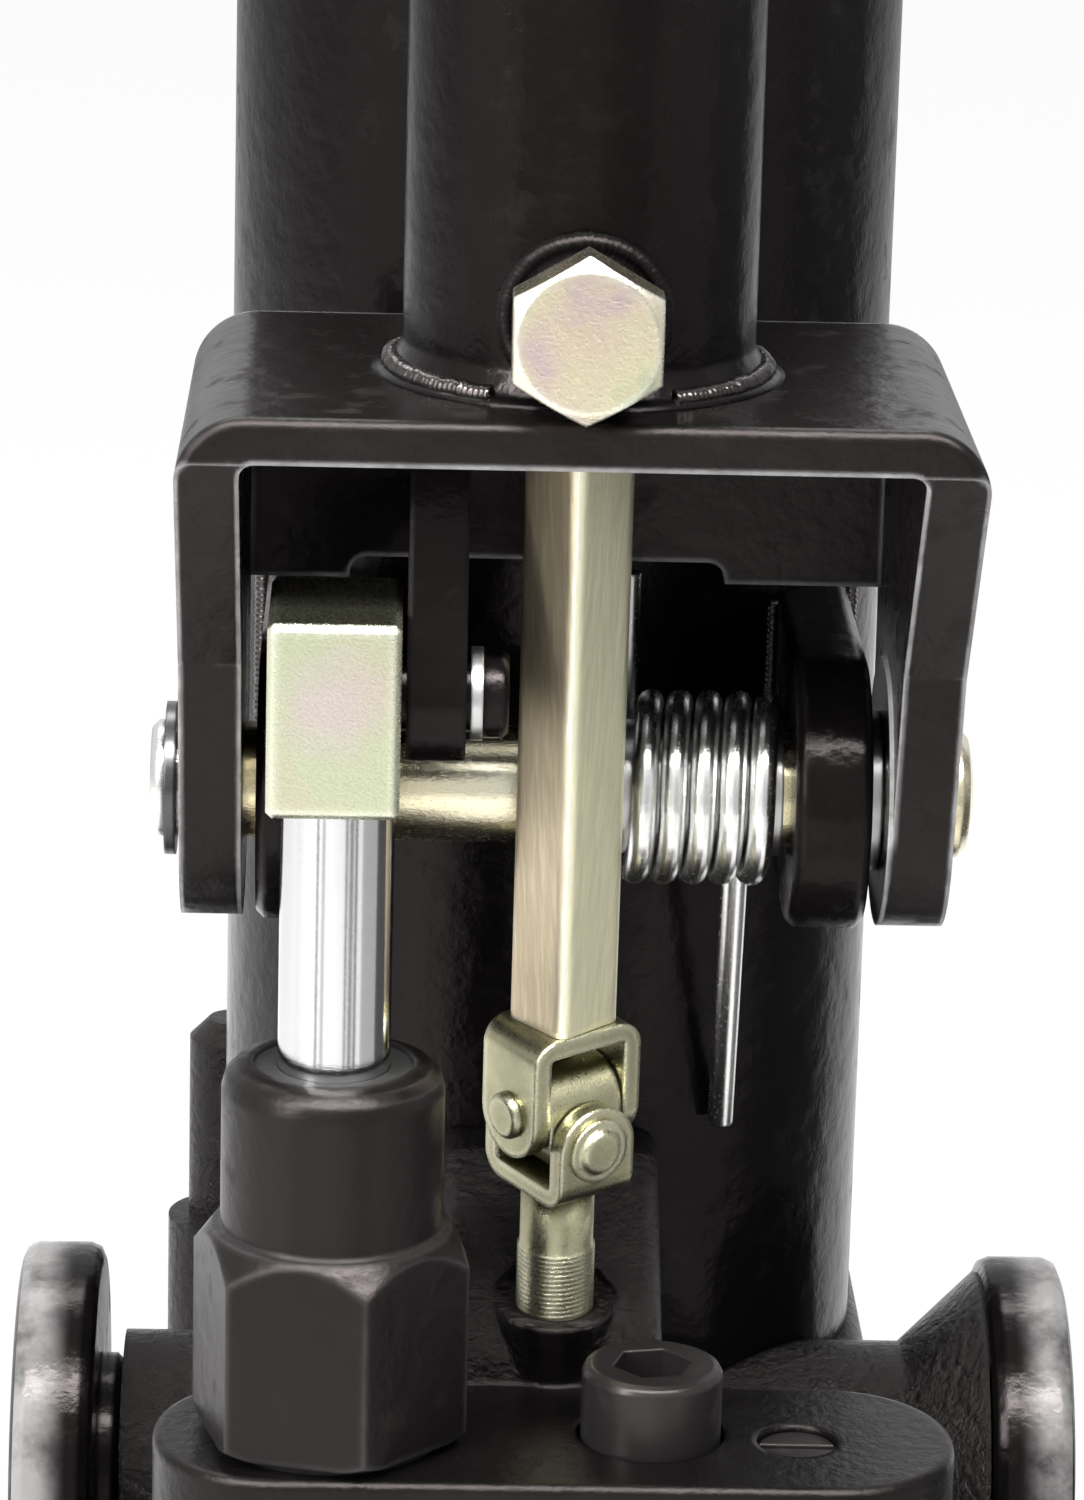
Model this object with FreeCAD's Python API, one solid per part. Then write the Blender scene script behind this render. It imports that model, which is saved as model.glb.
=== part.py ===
import FreeCAD, Part
import math
import os

# Floor jack, upright hydraulic type.  Units: mm, +Z up, floor at Z = 0.
# X runs across the jack, -Y is the side the operator stands on,
# and the lifting column stands on the Z axis.

V = FreeCAD.Vector

# Clearances
RUN = 0.06          # radial clearance of a running fit
PRESS = 0.01        # radial gap left in a pressed or threaded fit
SIDE = 0.35         # side gap between parts that move past each other
LAY = 0.02          # gap between faces that lie against each other

# Lifting column
TANK_R = 48.0
TANK_WALL = 3.5
TANK_BOTTOM = 44.0
TANK_H = 242.0
TANK_TOP = TANK_BOTTOM + TANK_H
NUT_LIP = 13.0
CYL_R = 31.0
CYL_WALL = 6.0
CYL_SEAT = 30.0
CYL_TOP = TANK_TOP - NUT_LIP - 0.1
RAM_R = 20.0
RAM_HEAD_H = 18.0
RAM_TOP = 306.0
RAM_STROKE = 150.0
SCREW_R = 12.0
SADDLE_R = 27.0
SADDLE_H = 15.0

# Base casting
SLAB_X = 50.0
SLAB_FRONT = -112.0
SLAB_BACK = 56.0
BLOCK_TOP = 65.0
BLOCK_X = 54.3
BLOCK_FRONT = -122.0
BLOCK_BACK = -86.0
BLOCK_ROUND = 17.0
NOSE_X = 15.4
NOSE_SLOPE = 30.0
AXLE_Y = -34.0
AXLE_Z = 31.3
TRUNNION_R = 18.5
TRUNNION_END = 61.5
FLARE_START = 53.0
FLARE_R = 29.0
AXLE_R = 9.0
COLUMN_X = -48.0
COLUMN_Y = 34.0
COLUMN_R = 6.8
COLUMN_TOP = 77.0

# Wheels
WHEEL_R = 31.3
WHEEL_IN = 65.0
WHEEL_OUT = 76.8
WHEEL_HUB_R = 15.0
WHEEL_SINK = 6.0
WHEEL_WASHER_T = 2.0
CLIP_T = 1.2
CLIP_GROOVE = 1.4
HUB_FACE = WHEEL_OUT - WHEEL_SINK
CLIP_X = HUB_FACE + SIDE + WHEEL_WASHER_T + 0.15
AXLE_END = CLIP_X + CLIP_GROOVE + 1.6
WHEEL_EDGE = 2.0

# Pump
PUMP_X = -30.6
PUMP_Y = -104.0
PLUNGER_R = 7.5
PLUNGER_BOTTOM = 82.0
PUMP_HEX = 33.3
PUMP_HEX_TOP = 95.0
PUMP_FOOT_H = 1.3
PUMP_FOOT_R = 15.5
PUMP_COLLAR_R = 14.9
PUMP_COLLAR_TOP = 117.9
PUMP_THREAD_R = 12.5
PUMP_LOW = 43.0
HEAD_X = 17.3
HEAD_MID = -31.2
HEAD_Y = 26.0
HEAD_H = 26.0
HEAD_FRONT = -117.0
SLOT_PLAY = 0.75

# Yoke
YOKE_X = 52.0
YOKE_T = 8.3
PLATE_T = 6.0
PLATE_HOLE = 20.4
YOKE_RISE = 40.0
YOKE_FRONT = -118.0
YOKE_CLEAR = 2.0
YOKE_BACK = -TANK_R - YOKE_CLEAR
YOKE_BEND = 9.0
EAR_R = 18.5
WEB_T = 6.0
WEB_H = 30.0
SOCKET_Y = -84.0
SOCKET_R = 23.3
SOCKET_BORE = 19.3
SOCKET_H = 82.0
WELD = 4.0

# Main pin and spring
PIN_Y = -71.0
PIN_DROP = 21.0
PIN_R = 8.0
PIN_HEAD_R = 9.0
LUG_R = 19.0
LUG_RIGHT = (30.7, 41.0)
LUG_LEFT = (-41.8, -30.0)
WASHER_T = 1.8
RING_R = 11.8
WIRE = 3.7
COIL_R = 11.5
COIL_PITCH = 4.0
COIL_TURNS = 5
COIL_START = 8.5
LEG_X = 24.8
LEG_LOW = 88.8
LEG_HIGH = 27.0

# Drive pin
DRIVE_Y = -101.0
DRIVE_Z = 168.0
DRIVE_R = 5.0
ARM_X = (-21.9, -14.1)
ARM_EYE = 9.0

# Handle lock bolt
BOLT_RISE = 11.4
BOLT_AF = 19.0
BOLT_HEAD = 7.5
BOLT_R = 6.0
BOLT_FACE = -122.5
BOSS_R = 9.5

# Release rod and valve
LEAN = 6.26
JOINT_X = 0.3
JOINT_Y = -83.8
JOINT_Z = 104.3
JOINT_TURN = 35.0
ROD_TURN = 42.0
PIVOT_UP = 1.6
PIVOT_DOWN = -2.5
ROD_SIDE = 11.0
ROD_TOP = 103.4
STEM_R = 5.4
NECK_LOW = -19.8
STEM_LOW = -60.0
SEAT_AT = -29.7
SEAT_R = 8.2
FORK_L = 17.6
FORK_W = 12.2
FORK_T = 2.6
UPPER_FLOOR = 13.9
LOWER_FLOOR = -10.8
RIVET_R = 2.0

# Heights that follow the drive pin
HEAD_BOTTOM = DRIVE_Z - HEAD_H / 2
PIN_Z = DRIVE_Z - PIN_DROP
YOKE_TOP = DRIVE_Z + YOKE_RISE
WEB_BOTTOM = YOKE_TOP - PLATE_T - WEB_H
SOCKET_TOP = YOKE_TOP + SOCKET_H
BOLT_Z = YOKE_TOP + BOLT_RISE

# Fasteners
CAP_X = 13.1
CAP_Y = -103.3
CAP_HEAD_R = 9.53
CAP_HEAD_H = 12.7
CAP_SINK = 2.5
CAP_SOCKET = 9.53
CAP_R = 6.35
SLOT_X = 32.9
SLOT_Y = -105.3
SLOT_R = 5.5


def cyl(r, h, at, along=V(0, 0, 1)):
    return Part.makeCylinder(r, h, at, along)


def tube(r_out, r_in, h, at, along=V(0, 0, 1)):
    return cyl(r_out, h, at, along).cut(cyl(r_in, h, at, along))


def box(x0, x1, y0, y1, z0, z1):
    return Part.makeBox(x1 - x0, y1 - y0, z1 - z0, V(x0, y0, z0))


def prism(points, along):
    loop = [V(*p) for p in points]
    loop.append(loop[0])
    return Part.Face(Part.makePolygon(loop)).extrude(along)


def turned(points, at, along):
    """Solid of revolution from (radius, height) points, its axis through at."""
    loop = [V(r, 0, h) for r, h in points]
    loop.append(loop[0])
    body = Part.Face(Part.makePolygon(loop)).revolve(V(0, 0, 0), V(0, 0, 1), 360)
    body.Placement = FreeCAD.Placement(at, FreeCAD.Rotation(V(0, 0, 1), along))
    return body


def hexagon(af, h, at, along, turn=0.0):
    r = af / math.sqrt(3.0)
    loop = []
    for k in range(7):
        a = math.radians(60 * k + turn)
        loop.append(V(r * math.cos(a), r * math.sin(a), 0))
    body = Part.Face(Part.makePolygon(loop)).extrude(V(0, 0, h))
    body.Placement = FreeCAD.Placement(at, FreeCAD.Rotation(V(0, 0, 1), along))
    return body


def rounded(shape, radius, pick):
    """Fillet the edges that pick() accepts; it gets each edge's middle point."""
    edges = []
    for e in shape.Edges:
        p = e.valueAt((e.FirstParameter + e.LastParameter) / 2)
        if pick(e, p):
            edges.append(e)
    if not edges:
        return shape
    return shape.makeFillet(radius, edges)


def bevelled(shape, size, pick):
    """Chamfer the edges that pick() accepts, where a round would cost too many faces."""
    edges = [e for e in shape.Edges if pick(e, e.valueAt((e.FirstParameter + e.LastParameter) / 2))]
    return shape.makeChamfer(size, edges)


def is_along(e, axis):
    if len(e.Vertexes) < 2:
        return False
    d = e.Vertexes[1].Point.sub(e.Vertexes[0].Point)
    if d.Length < 1e-6:
        return False
    d.normalize()
    return abs(d.dot(axis)) > 0.999 and isinstance(e.Curve, (Part.Line, Part.LineSegment))


def near(a, b, tol=0.02):
    return abs(a - b) < tol


X1 = V(1, 0, 0)
Y1 = V(0, 1, 0)
Z1 = V(0, 0, 1)


# Release line: one straight line carries the rod and the stem
def line_dir():
    a = math.radians(LEAN)
    return V(0, -math.sin(a), math.cos(a))


def line_back():
    a = math.radians(LEAN)
    return V(0, math.cos(a), math.sin(a))


def line_at(s):
    d = line_dir()
    return V(JOINT_X + d.x * s, JOINT_Y + d.y * s, JOINT_Z + d.z * s)


def on_line(shape, s=0.0, angle=JOINT_TURN):
    """Place a part drawn along +Z with its pivots on X and Y onto the line."""
    turn = FreeCAD.Rotation(Z1, angle)
    lean = FreeCAD.Rotation(X1, LEAN)
    place = FreeCAD.Placement(line_at(s), lean.multiply(turn))
    shape.Placement = place.multiply(shape.Placement)
    return shape


# Base
def base_casting():
    slab = box(-SLAB_X, SLAB_X, SLAB_FRONT, SLAB_BACK, 0, TANK_BOTTOM)
    slab = rounded(slab, 26.0, lambda e, p: is_along(e, Z1) and p.y > 0)
    slab = rounded(slab, 14.0, lambda e, p: is_along(e, Z1) and p.y < 0)
    slab = rounded(slab, 3.0, lambda e, p: near(p.z, TANK_BOTTOM))
    block = box(-BLOCK_X, BLOCK_X, BLOCK_FRONT, BLOCK_BACK, 12.0, BLOCK_TOP)
    block = rounded(block, BLOCK_ROUND, lambda e, p: is_along(e, Z1))
    block = rounded(block, 1.2, lambda e, p: near(p.z, BLOCK_TOP))
    body = slab.fuse(block)
    body = body.fuse(valve_nose())
    body = body.fuse(cyl(SEAT_R, 16, line_at(SEAT_AT - 16), line_dir()))
    body = body.cut(cyl(SEAT_R + 0.8, 30, line_at(SEAT_AT), line_dir()))
    body = body.fuse(cyl(TRUNNION_R, 2 * TRUNNION_END, V(-TRUNNION_END, AXLE_Y, AXLE_Z), X1))
    stub = turned([(0, 0), (AXLE_R, 0), (AXLE_R, 2 * AXLE_END - 1), (AXLE_R - 1, 2 * AXLE_END),
                   (0, 2 * AXLE_END)], V(-AXLE_END, AXLE_Y, AXLE_Z), X1)
    body = body.fuse(stub)
    body = body.fuse(trunnion_flare())
    column = cyl(COLUMN_R, COLUMN_TOP - 20, V(COLUMN_X, COLUMN_Y, 20))
    column = bevelled(column, 3.0, lambda e, p: near(p.z, COLUMN_TOP))
    body = body.fuse(column)
    foot = cyl(COLUMN_R + 3.2, TANK_BOTTOM, V(COLUMN_X, COLUMN_Y, 0))
    body = body.fuse(foot)
    body = body.cut(cyl(CYL_R + PRESS, 60, V(0, 0, CYL_SEAT)))
    body = body.cut(cyl(TANK_R + 0.2, 60, V(0, 0, TANK_BOTTOM)))
    body = body.cut(cyl(PUMP_THREAD_R + PRESS, 60, V(PUMP_X, PUMP_Y, PUMP_LOW)))
    body = body.cut(cyl(3.0, 12, V(PUMP_X, PUMP_Y, PUMP_LOW - 10)))
    body = body.cut(cyl(CAP_HEAD_R + 0.6, 20, V(CAP_X, CAP_Y, BLOCK_TOP - CAP_SINK)))
    body = body.cut(cyl(CAP_R + PRESS, 40, V(CAP_X, CAP_Y, BLOCK_TOP - CAP_SINK - 32)))
    body = body.cut(cyl(SLOT_R + PRESS, 30, V(SLOT_X, SLOT_Y, BLOCK_TOP - 24)))
    body = body.cut(cyl(2.2, 12, V(SLOT_X, SLOT_Y, BLOCK_TOP - 34)))
    body = body.cut(cyl(STEM_R + RUN, 80, line_at(STEM_LOW - 6), line_dir()))
    for x in (-CLIP_X - CLIP_GROOVE, CLIP_X):
        body = body.cut(tube(AXLE_R + 1, AXLE_R - 1, CLIP_GROOVE, V(x, AXLE_Y, AXLE_Z), X1))
    return body.removeSplitter()


def trunnion_flare():
    """Cone that carries the right stub out to the wheel."""
    length = WHEEL_IN - SIDE - FLARE_START
    cone = Part.makeCone(TRUNNION_R - 0.5, FLARE_R, length, V(FLARE_START, AXLE_Y, AXLE_Z), X1)
    return cone.cut(cyl(WHEEL_HUB_R + 1.5, 20, V(TRUNNION_END, AXLE_Y, AXLE_Z), X1))


def valve_nose():
    """Sloped boss in front of the column that takes the release valve."""
    rise = math.tan(math.radians(NOSE_SLOPE))
    y0 = -82.5
    z0 = 73.0
    y1 = -56.0
    z1 = z0 + (y1 - y0) * rise
    side = [(-NOSE_X, -86.6, 30), (-NOSE_X, -86.6, BLOCK_TOP), (-NOSE_X, -85.2, 69.5), (-NOSE_X, y0, z0),
            (-NOSE_X, y1, z1), (-NOSE_X, -40, z1), (-NOSE_X, -40, 30)]
    nose = prism(side, V(2 * NOSE_X, 0, 0))
    return rounded(nose, 3.0, lambda e, p: p.z > z0 + 0.1 and near(abs(p.x), NOSE_X))


def tank():
    body = tube(TANK_R, TANK_R - TANK_WALL, TANK_TOP - TANK_BOTTOM, V(0, 0, TANK_BOTTOM + LAY))
    return body.cut(cyl(6.0, 20, V(0, TANK_R - 12, 240), Y1))


def tank_plug():
    return turned([(0, 0), (5.96, 0), (5.96, 7), (8.5, 7), (7.6, 10.5), (0, 10.5)],
                  V(0, TANK_R - 6.4, 240), Y1)


def pressure_cylinder():
    return tube(CYL_R, CYL_R - CYL_WALL, CYL_TOP - CYL_SEAT, V(0, 0, CYL_SEAT + LAY))


def top_nut():
    r_in = TANK_R - TANK_WALL - PRESS
    low = TANK_TOP - NUT_LIP
    body = cyl(r_in, NUT_LIP + 0.5, V(0, 0, low))
    flange = cyl(TANK_R - 0.5, 9, V(0, 0, TANK_TOP + 2 * LAY))
    flange = bevelled(flange, 1.2, lambda e, p: near(p.z, TANK_TOP + 2 * LAY + 9))
    crown = hexagon(64, 9, V(0, 0, TANK_TOP + 9), Z1)
    crown = crown.common(turned([(0, 0), (36.9, 0), (36.9, 7.2), (33.5, 9), (0, 9)], V(0, 0, TANK_TOP + 9), Z1))
    body = body.fuse(flange).fuse(crown)
    body = body.cut(cyl(RAM_R + RUN, 60, V(0, 0, low - 5)))
    body = body.cut(cyl(RAM_R + 4.0, 4.5, V(0, 0, TANK_TOP + 10)))
    return body.removeSplitter()


def ram_wiper():
    return tube(RAM_R + 3.95, RAM_R + RUN, 4.4, V(0, 0, TANK_TOP + 10.05))


def ram():
    bore = CYL_R - CYL_WALL
    low = CYL_SEAT + 4.0
    body = turned([(0, 0), (bore - RUN - 1, 0), (bore - RUN, 1), (bore - RUN, RAM_HEAD_H - 1),
                   (bore - RUN - 1, RAM_HEAD_H), (RAM_R, RAM_HEAD_H), (RAM_R, RAM_TOP - low - 1),
                   (RAM_R - 1, RAM_TOP - low), (0, RAM_TOP - low)], V(0, 0, low), Z1)
    body = body.cut(cyl(SCREW_R + RUN, 120, V(0, 0, RAM_TOP - 90)))
    return body.cut(tube(bore, bore - 4.0, 5.0, V(0, 0, low + 6.5)))


def ram_seal():
    bore = CYL_R - CYL_WALL
    return tube(bore - RUN / 2, bore - 4.0 + PRESS, 4.9, V(0, 0, CYL_SEAT + 10.55))


def extension_screw():
    body = turned([(0, 0), (SCREW_R - 1, 0), (SCREW_R, 1), (SCREW_R, 87.5), (SCREW_R - 2, 89.5),
                   (SCREW_R - 2, 96), (0, 96)], V(0, 0, RAM_TOP - 88), Z1)
    return body


def saddle():
    z = RAM_TOP + 1.6
    body = turned([(0, 0), (20, 0), (SADDLE_R, 6), (SADDLE_R, SADDLE_H - 1.5), (SADDLE_R - 1.5, SADDLE_H),
                   (17, SADDLE_H), (15, SADDLE_H - 3), (0, SADDLE_H - 3)], V(0, 0, z), Z1)
    for k in range(4):
        a = math.radians(45 * k)
        cut = box(-2.2, 2.2, -40, 40, z + SADDLE_H - 2.5, z + SADDLE_H + 1)
        cut.Placement = FreeCAD.Placement(V(0, 0, 0), FreeCAD.Rotation(Z1, math.degrees(a)))
        body = body.cut(cut)
    return body.cut(cyl(SCREW_R - 2 + PRESS, 7, V(0, 0, z - 0.5)))


# Wheels
def wheel(side):
    t = WHEEL_OUT - WHEEL_IN
    profile = [(AXLE_R + RUN, -3.2), (WHEEL_HUB_R - 1, -3.2), (WHEEL_HUB_R, -2.2), (WHEEL_HUB_R, 0),
               (WHEEL_R - WHEEL_EDGE, 0), (WHEEL_R - 0.6, 0.6), (WHEEL_R, WHEEL_EDGE),
               (WHEEL_R, t - WHEEL_EDGE), (WHEEL_R - 0.6, t - 0.6), (WHEEL_R - WHEEL_EDGE, t),
               (WHEEL_HUB_R + 8.5, t), (WHEEL_HUB_R + 6.5, t - WHEEL_SINK), (AXLE_R + RUN, t - WHEEL_SINK)]
    return turned(profile, V(side * WHEEL_IN, AXLE_Y, AXLE_Z), V(side, 0, 0))


def wheel_washers():
    out = []
    for side in (-1, 1):
        at = V(side * (HUB_FACE + SIDE), AXLE_Y, AXLE_Z)
        out.append(tube(13.5, AXLE_R + RUN, WHEEL_WASHER_T, at, V(side, 0, 0)))
    return Part.makeCompound(out)


def circlip(r_groove, r_out, t, at, along, turn):
    """Open retaining ring with two eared ends."""
    ring = tube(r_out, r_groove, t, V(0, 0, 0))
    ring = ring.cut(prism([(0, 0, -1), (30, -9, -1), (30, 9, -1)], V(0, 0, t + 2)))
    for s in (-1, 1):
        a = math.radians(24.0) * s
        c = V((r_out + 0.4) * math.cos(a), (r_out + 0.4) * math.sin(a), 0)
        ring = ring.fuse(cyl(1.7, t, c))
        ring = ring.cut(cyl(0.7, t + 2, c.add(V(0, 0, -1))))
    lay = FreeCAD.Rotation(Z1, along).multiply(FreeCAD.Rotation(Z1, turn))
    ring.Placement = FreeCAD.Placement(at, lay)
    return ring


def wheel_clips():
    out = []
    for side in (-1, 1):
        at = V(side * (CLIP_X + (CLIP_GROOVE - CLIP_T) / 2), AXLE_Y, AXLE_Z)
        out.append(circlip(AXLE_R - 1 + PRESS, 12.0, CLIP_T, at, V(side, 0, 0), 90))
    return Part.makeCompound(out)


# Pump
def pump_body():
    low = BLOCK_TOP + PUMP_FOOT_H
    h = PUMP_HEX_TOP - low
    nut = hexagon(PUMP_HEX, h, V(PUMP_X, PUMP_Y, low), Z1, 15.0 - 90.0 + 60.0)
    r = PUMP_HEX / math.sqrt(3.0)
    crown = turned([(0, 0), (r - 1.4, 0), (r + 0.2, 1.0), (r + 0.2, h - 4.6), (r - 3.2, h), (0, h)],
                   V(PUMP_X, PUMP_Y, low), Z1)
    nut = nut.common(crown)
    ch = PUMP_COLLAR_TOP - BLOCK_TOP - 5
    cr = PUMP_COLLAR_R
    collar = turned([(0, 0), (cr, 0), (cr, ch - 3.5), (cr - 0.5, ch - 1.7), (cr - 1.7, ch - 0.5), (cr - 3.5, ch),
                     (0, ch)], V(PUMP_X, PUMP_Y, BLOCK_TOP + 5), Z1)
    spigot = cyl(PUMP_THREAD_R, BLOCK_TOP - PUMP_LOW + 3, V(PUMP_X, PUMP_Y, PUMP_LOW + 0.3))
    foot = cyl(PUMP_FOOT_R, 3, V(PUMP_X, PUMP_Y, BLOCK_TOP + LAY))
    body = nut.fuse(collar).fuse(spigot).fuse(foot)
    body = body.cut(cyl(PLUNGER_R + RUN, 100, V(PUMP_X, PUMP_Y, PUMP_LOW + 5)))
    body = body.cut(cyl(3.0, 20, V(PUMP_X, PUMP_Y, PUMP_LOW - 5)))
    body = body.cut(cyl(PLUNGER_R + 3.2, 6.0, V(PUMP_X, PUMP_Y, PUMP_COLLAR_TOP - 5.0)))
    return body.removeSplitter()


def pump_wiper():
    z = PUMP_COLLAR_TOP - 5.0 + LAY
    return tube(PLUNGER_R + 3.2 - PRESS, PLUNGER_R + RUN, 4.4, V(PUMP_X, PUMP_Y, z))


def plunger():
    top = DRIVE_Z - DRIVE_R - SLOT_PLAY - 1.6
    h = top - PLUNGER_BOTTOM
    return turned([(0, 0), (PLUNGER_R - 0.8, 0), (PLUNGER_R, 0.8), (PLUNGER_R, h - 6.4), (PLUNGER_R - 1.5, h - 6.4),
                   (PLUNGER_R - 1.5, h), (0, h)], V(PUMP_X, PUMP_Y, PLUNGER_BOTTOM), Z1)


def slot_span():
    """Path of the drive pin along Y, seen from the plunger head."""
    dy = DRIVE_Y - PIN_Y
    dz = DRIVE_Z - PIN_Z
    reach = math.hypot(dy, dz)
    return PIN_Y - reach - 0.6, DRIVE_Y + 0.8


def plunger_head():
    x0 = HEAD_MID - HEAD_X / 2
    x1 = HEAD_MID + HEAD_X / 2
    body = box(x0, x1, HEAD_FRONT, HEAD_FRONT + HEAD_Y, HEAD_BOTTOM, HEAD_BOTTOM + HEAD_H)
    body = body.makeChamfer(0.8, body.Edges)
    y0, y1 = slot_span()
    r = DRIVE_R + SLOT_PLAY
    for y in (y0, y1):
        body = body.cut(cyl(r, HEAD_X - 3.0, V(x0 + 3.5, y, DRIVE_Z), X1))
    body = body.cut(box(x0 + 3.5, x1 + 0.5, y0, y1, DRIVE_Z - r, DRIVE_Z + r))
    top = DRIVE_Z - DRIVE_R - SLOT_PLAY - 1.5
    return body.cut(cyl(PLUNGER_R - 1.5 + PRESS, top - HEAD_BOTTOM + 5, V(PUMP_X, PUMP_Y, HEAD_BOTTOM - 5)))


# Lugs, main pin, spring
def lug(x0, x1):
    w = x1 - x0
    round_end = cyl(LUG_R, w, V(x0, PIN_Y, PIN_Z), X1)
    web = box(x0, x1, PIN_Y, 0, PIN_Z - LUG_R, PIN_Z + LUG_R)
    body = round_end.fuse(web).removeSplitter()
    body = body.cut(cyl(TANK_R + LAY, 80, V(0, 0, PIN_Z - 40)))
    body = body.cut(box(x0 - 1, x1 + 1, -10, 60, PIN_Z - 60, PIN_Z + 60))
    body = body.cut(cyl(PIN_R + PRESS, w + 2, V(x0 - 1, PIN_Y, PIN_Z), X1))
    return bevelled(body, 1.1, lambda e, p: p.y < PIN_Y - LUG_R + 1.0)


def main_pin():
    left = -56.4
    right = YOKE_X + SIDE
    span = right - left
    body = turned([(0, 0), (PIN_R - 1, 0), (PIN_R, 1), (PIN_R, span), (PIN_HEAD_R, span),
                   (PIN_HEAD_R, span + 1.6), (PIN_HEAD_R - 1.4, span + 2.8), (PIN_HEAD_R - 4, span + 3.4),
                   (0, span + 3.6)], V(left, PIN_Y, PIN_Z), X1)
    return body.cut(tube(PIN_R + 1, PIN_R - 1, 1.7, V(-54.55, PIN_Y, PIN_Z), X1))


def pin_ring():
    return circlip(PIN_R - 1 + PRESS, RING_R - 1.3, 1.5, V(-54.45, PIN_Y, PIN_Z), X1, 90)


def pin_washer():
    return tube(11.0, PIN_R + RUN, WASHER_T, V(LUG_RIGHT[1] + 0.1, PIN_Y, PIN_Z), X1)


def spring_sleeve():
    return tube(9.2, PIN_R + RUN, 29.0, V(0.6, PIN_Y, PIN_Z), X1)


def rod_between(a, b, r):
    run = b.sub(a)
    return cyl(r, run.Length, a, run)


def half_ring(a, b, tangent, r):
    """Half a turn of wire from a to b, leaving a along the tangent; its section is a 16-gon."""
    mid = a.add(b).multiply(0.5)
    out = a.sub(mid).normalize()
    side = out.cross(tangent)
    loop = []
    for k in range(17):
        w = 2 * math.pi * k / 16
        loop.append(a.add(out * (r * math.cos(w))).add(side * (r * math.sin(w))))
    section = Part.Face(Part.makePolygon(loop))
    return section.revolve(mid, a.sub(mid).cross(tangent), 180)


def spring():
    """Torsion spring: close coils on the sleeve, one leg down on the tank, one up on the web."""
    r = WIRE / 2
    ends = []
    for k in range(2 * COIL_TURNS + 1):
        y = PIN_Y + COIL_R if k % 2 == 0 else PIN_Y - COIL_R
        ends.append(V(COIL_START + COIL_PITCH * k / 2, y, PIN_Z))
    y_low = -math.sqrt(TANK_R ** 2 - LEG_X ** 2) - r - SIDE
    up = V(COIL_START, YOKE_BACK - WEB_T - r - SIDE, PIN_Z + LEG_HIGH)
    knee = V(LEG_X, PIN_Y + COIL_R + r, PIN_Z - 11.0)
    foot = V(LEG_X, y_low, LEG_LOW)
    body = Part.makeSphere(r, ends[0]).fuse(rod_between(ends[0], up, r))
    for k in range(2 * COIL_TURNS):
        down = Z1 if k % 2 else V(0, 0, -1)
        body = body.fuse(half_ring(ends[k], ends[k + 1], down, r))
    body = body.fuse(Part.makeSphere(r, ends[-1])).fuse(rod_between(ends[-1], knee, r))
    return body.fuse(Part.makeSphere(r, knee)).fuse(rod_between(knee, foot, r))


# Yoke
def tangent_from(p, c, r, sign):
    """Point where the line from p touches the circle of radius r about c."""
    dy = c[0] - p[0]
    dz = c[1] - p[1]
    d = math.hypot(dy, dz)
    base = math.atan2(dz, dy)
    half = math.asin(r / d)
    a = base + sign * half
    run = math.sqrt(d * d - r * r)
    return (p[0] + run * math.cos(a), p[1] + run * math.sin(a))


def yoke_side():
    c = (PIN_Y, PIN_Z)
    a = (YOKE_FRONT, YOKE_TOP - 6)
    knee = (YOKE_FRONT + 21.5, YOKE_TOP - 38)
    b = (YOKE_BACK, YOKE_TOP - 22)
    ta = tangent_from(knee, c, EAR_R, -1)
    tb = tangent_from(b, c, EAR_R, 1)
    mid = (PIN_Y + EAR_R * math.cos(math.radians(-80)), PIN_Z + EAR_R * math.sin(math.radians(-80)))

    def p(q):
        return V(-60, q[0], q[1])

    edges = [Part.LineSegment(p((YOKE_FRONT, YOKE_TOP)), p(a)), Part.LineSegment(p(a), p(knee)),
             Part.LineSegment(p(knee), p(ta)),
             Part.Arc(p(ta), p(mid), p(tb)), Part.LineSegment(p(tb), p(b)),
             Part.LineSegment(p(b), p((YOKE_BACK, YOKE_TOP))),
             Part.LineSegment(p((YOKE_BACK, YOKE_TOP)), p((YOKE_FRONT, YOKE_TOP)))]
    wire = Part.Wire([e.toShape() for e in edges])
    return Part.Face(wire).extrude(V(120, 0, 0))


def yoke():
    outer = box(-YOKE_X, YOKE_X, YOKE_FRONT - 5, YOKE_BACK + 5, 90, YOKE_TOP)
    outer = rounded(outer, YOKE_BEND, lambda e, p: is_along(e, Y1) and p.z > 200)
    inner = box(-YOKE_X + YOKE_T, YOKE_X - YOKE_T, YOKE_FRONT - 9, YOKE_BACK + 9, 80, YOKE_TOP - PLATE_T)
    inner = rounded(inner, 2.0, lambda e, p: is_along(e, Y1) and p.z > 190)
    strap = outer.cut(inner)
    body = strap.common(yoke_side())
    boss_in = LUG_RIGHT[1] + WASHER_T + SIDE
    boss = cyl(EAR_R, YOKE_X - YOKE_T - boss_in + 1, V(boss_in, PIN_Y, PIN_Z), X1)
    body = body.fuse(boss)
    body = body.cut(cyl(PLATE_HOLE, 40, V(0, SOCKET_Y, YOKE_TOP - 30)))
    body = body.cut(cyl(PIN_R + RUN, 130, V(-65, PIN_Y, PIN_Z), X1))
    body = body.removeSplitter()
    return rounded(body, 1.4, lambda e, p: near(p.y, YOKE_FRONT) and p.z > YOKE_TOP - 5.9)


def yoke_web():
    x = YOKE_X - YOKE_T - LAY
    y0 = YOKE_BACK - WEB_T
    body = box(-x, x, y0, YOKE_BACK, WEB_BOTTOM, YOKE_TOP - PLATE_T - LAY)
    body = rounded(body, 2.05, lambda e, p: is_along(e, Y1) and p.z > 190)
    notch = box(-30, 22, y0 - 1, YOKE_BACK + 1, WEB_BOTTOM - 5, WEB_BOTTOM + 3)
    notch = rounded(notch, 2.5, lambda e, p: is_along(e, Y1))
    return body.cut(notch)


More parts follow.
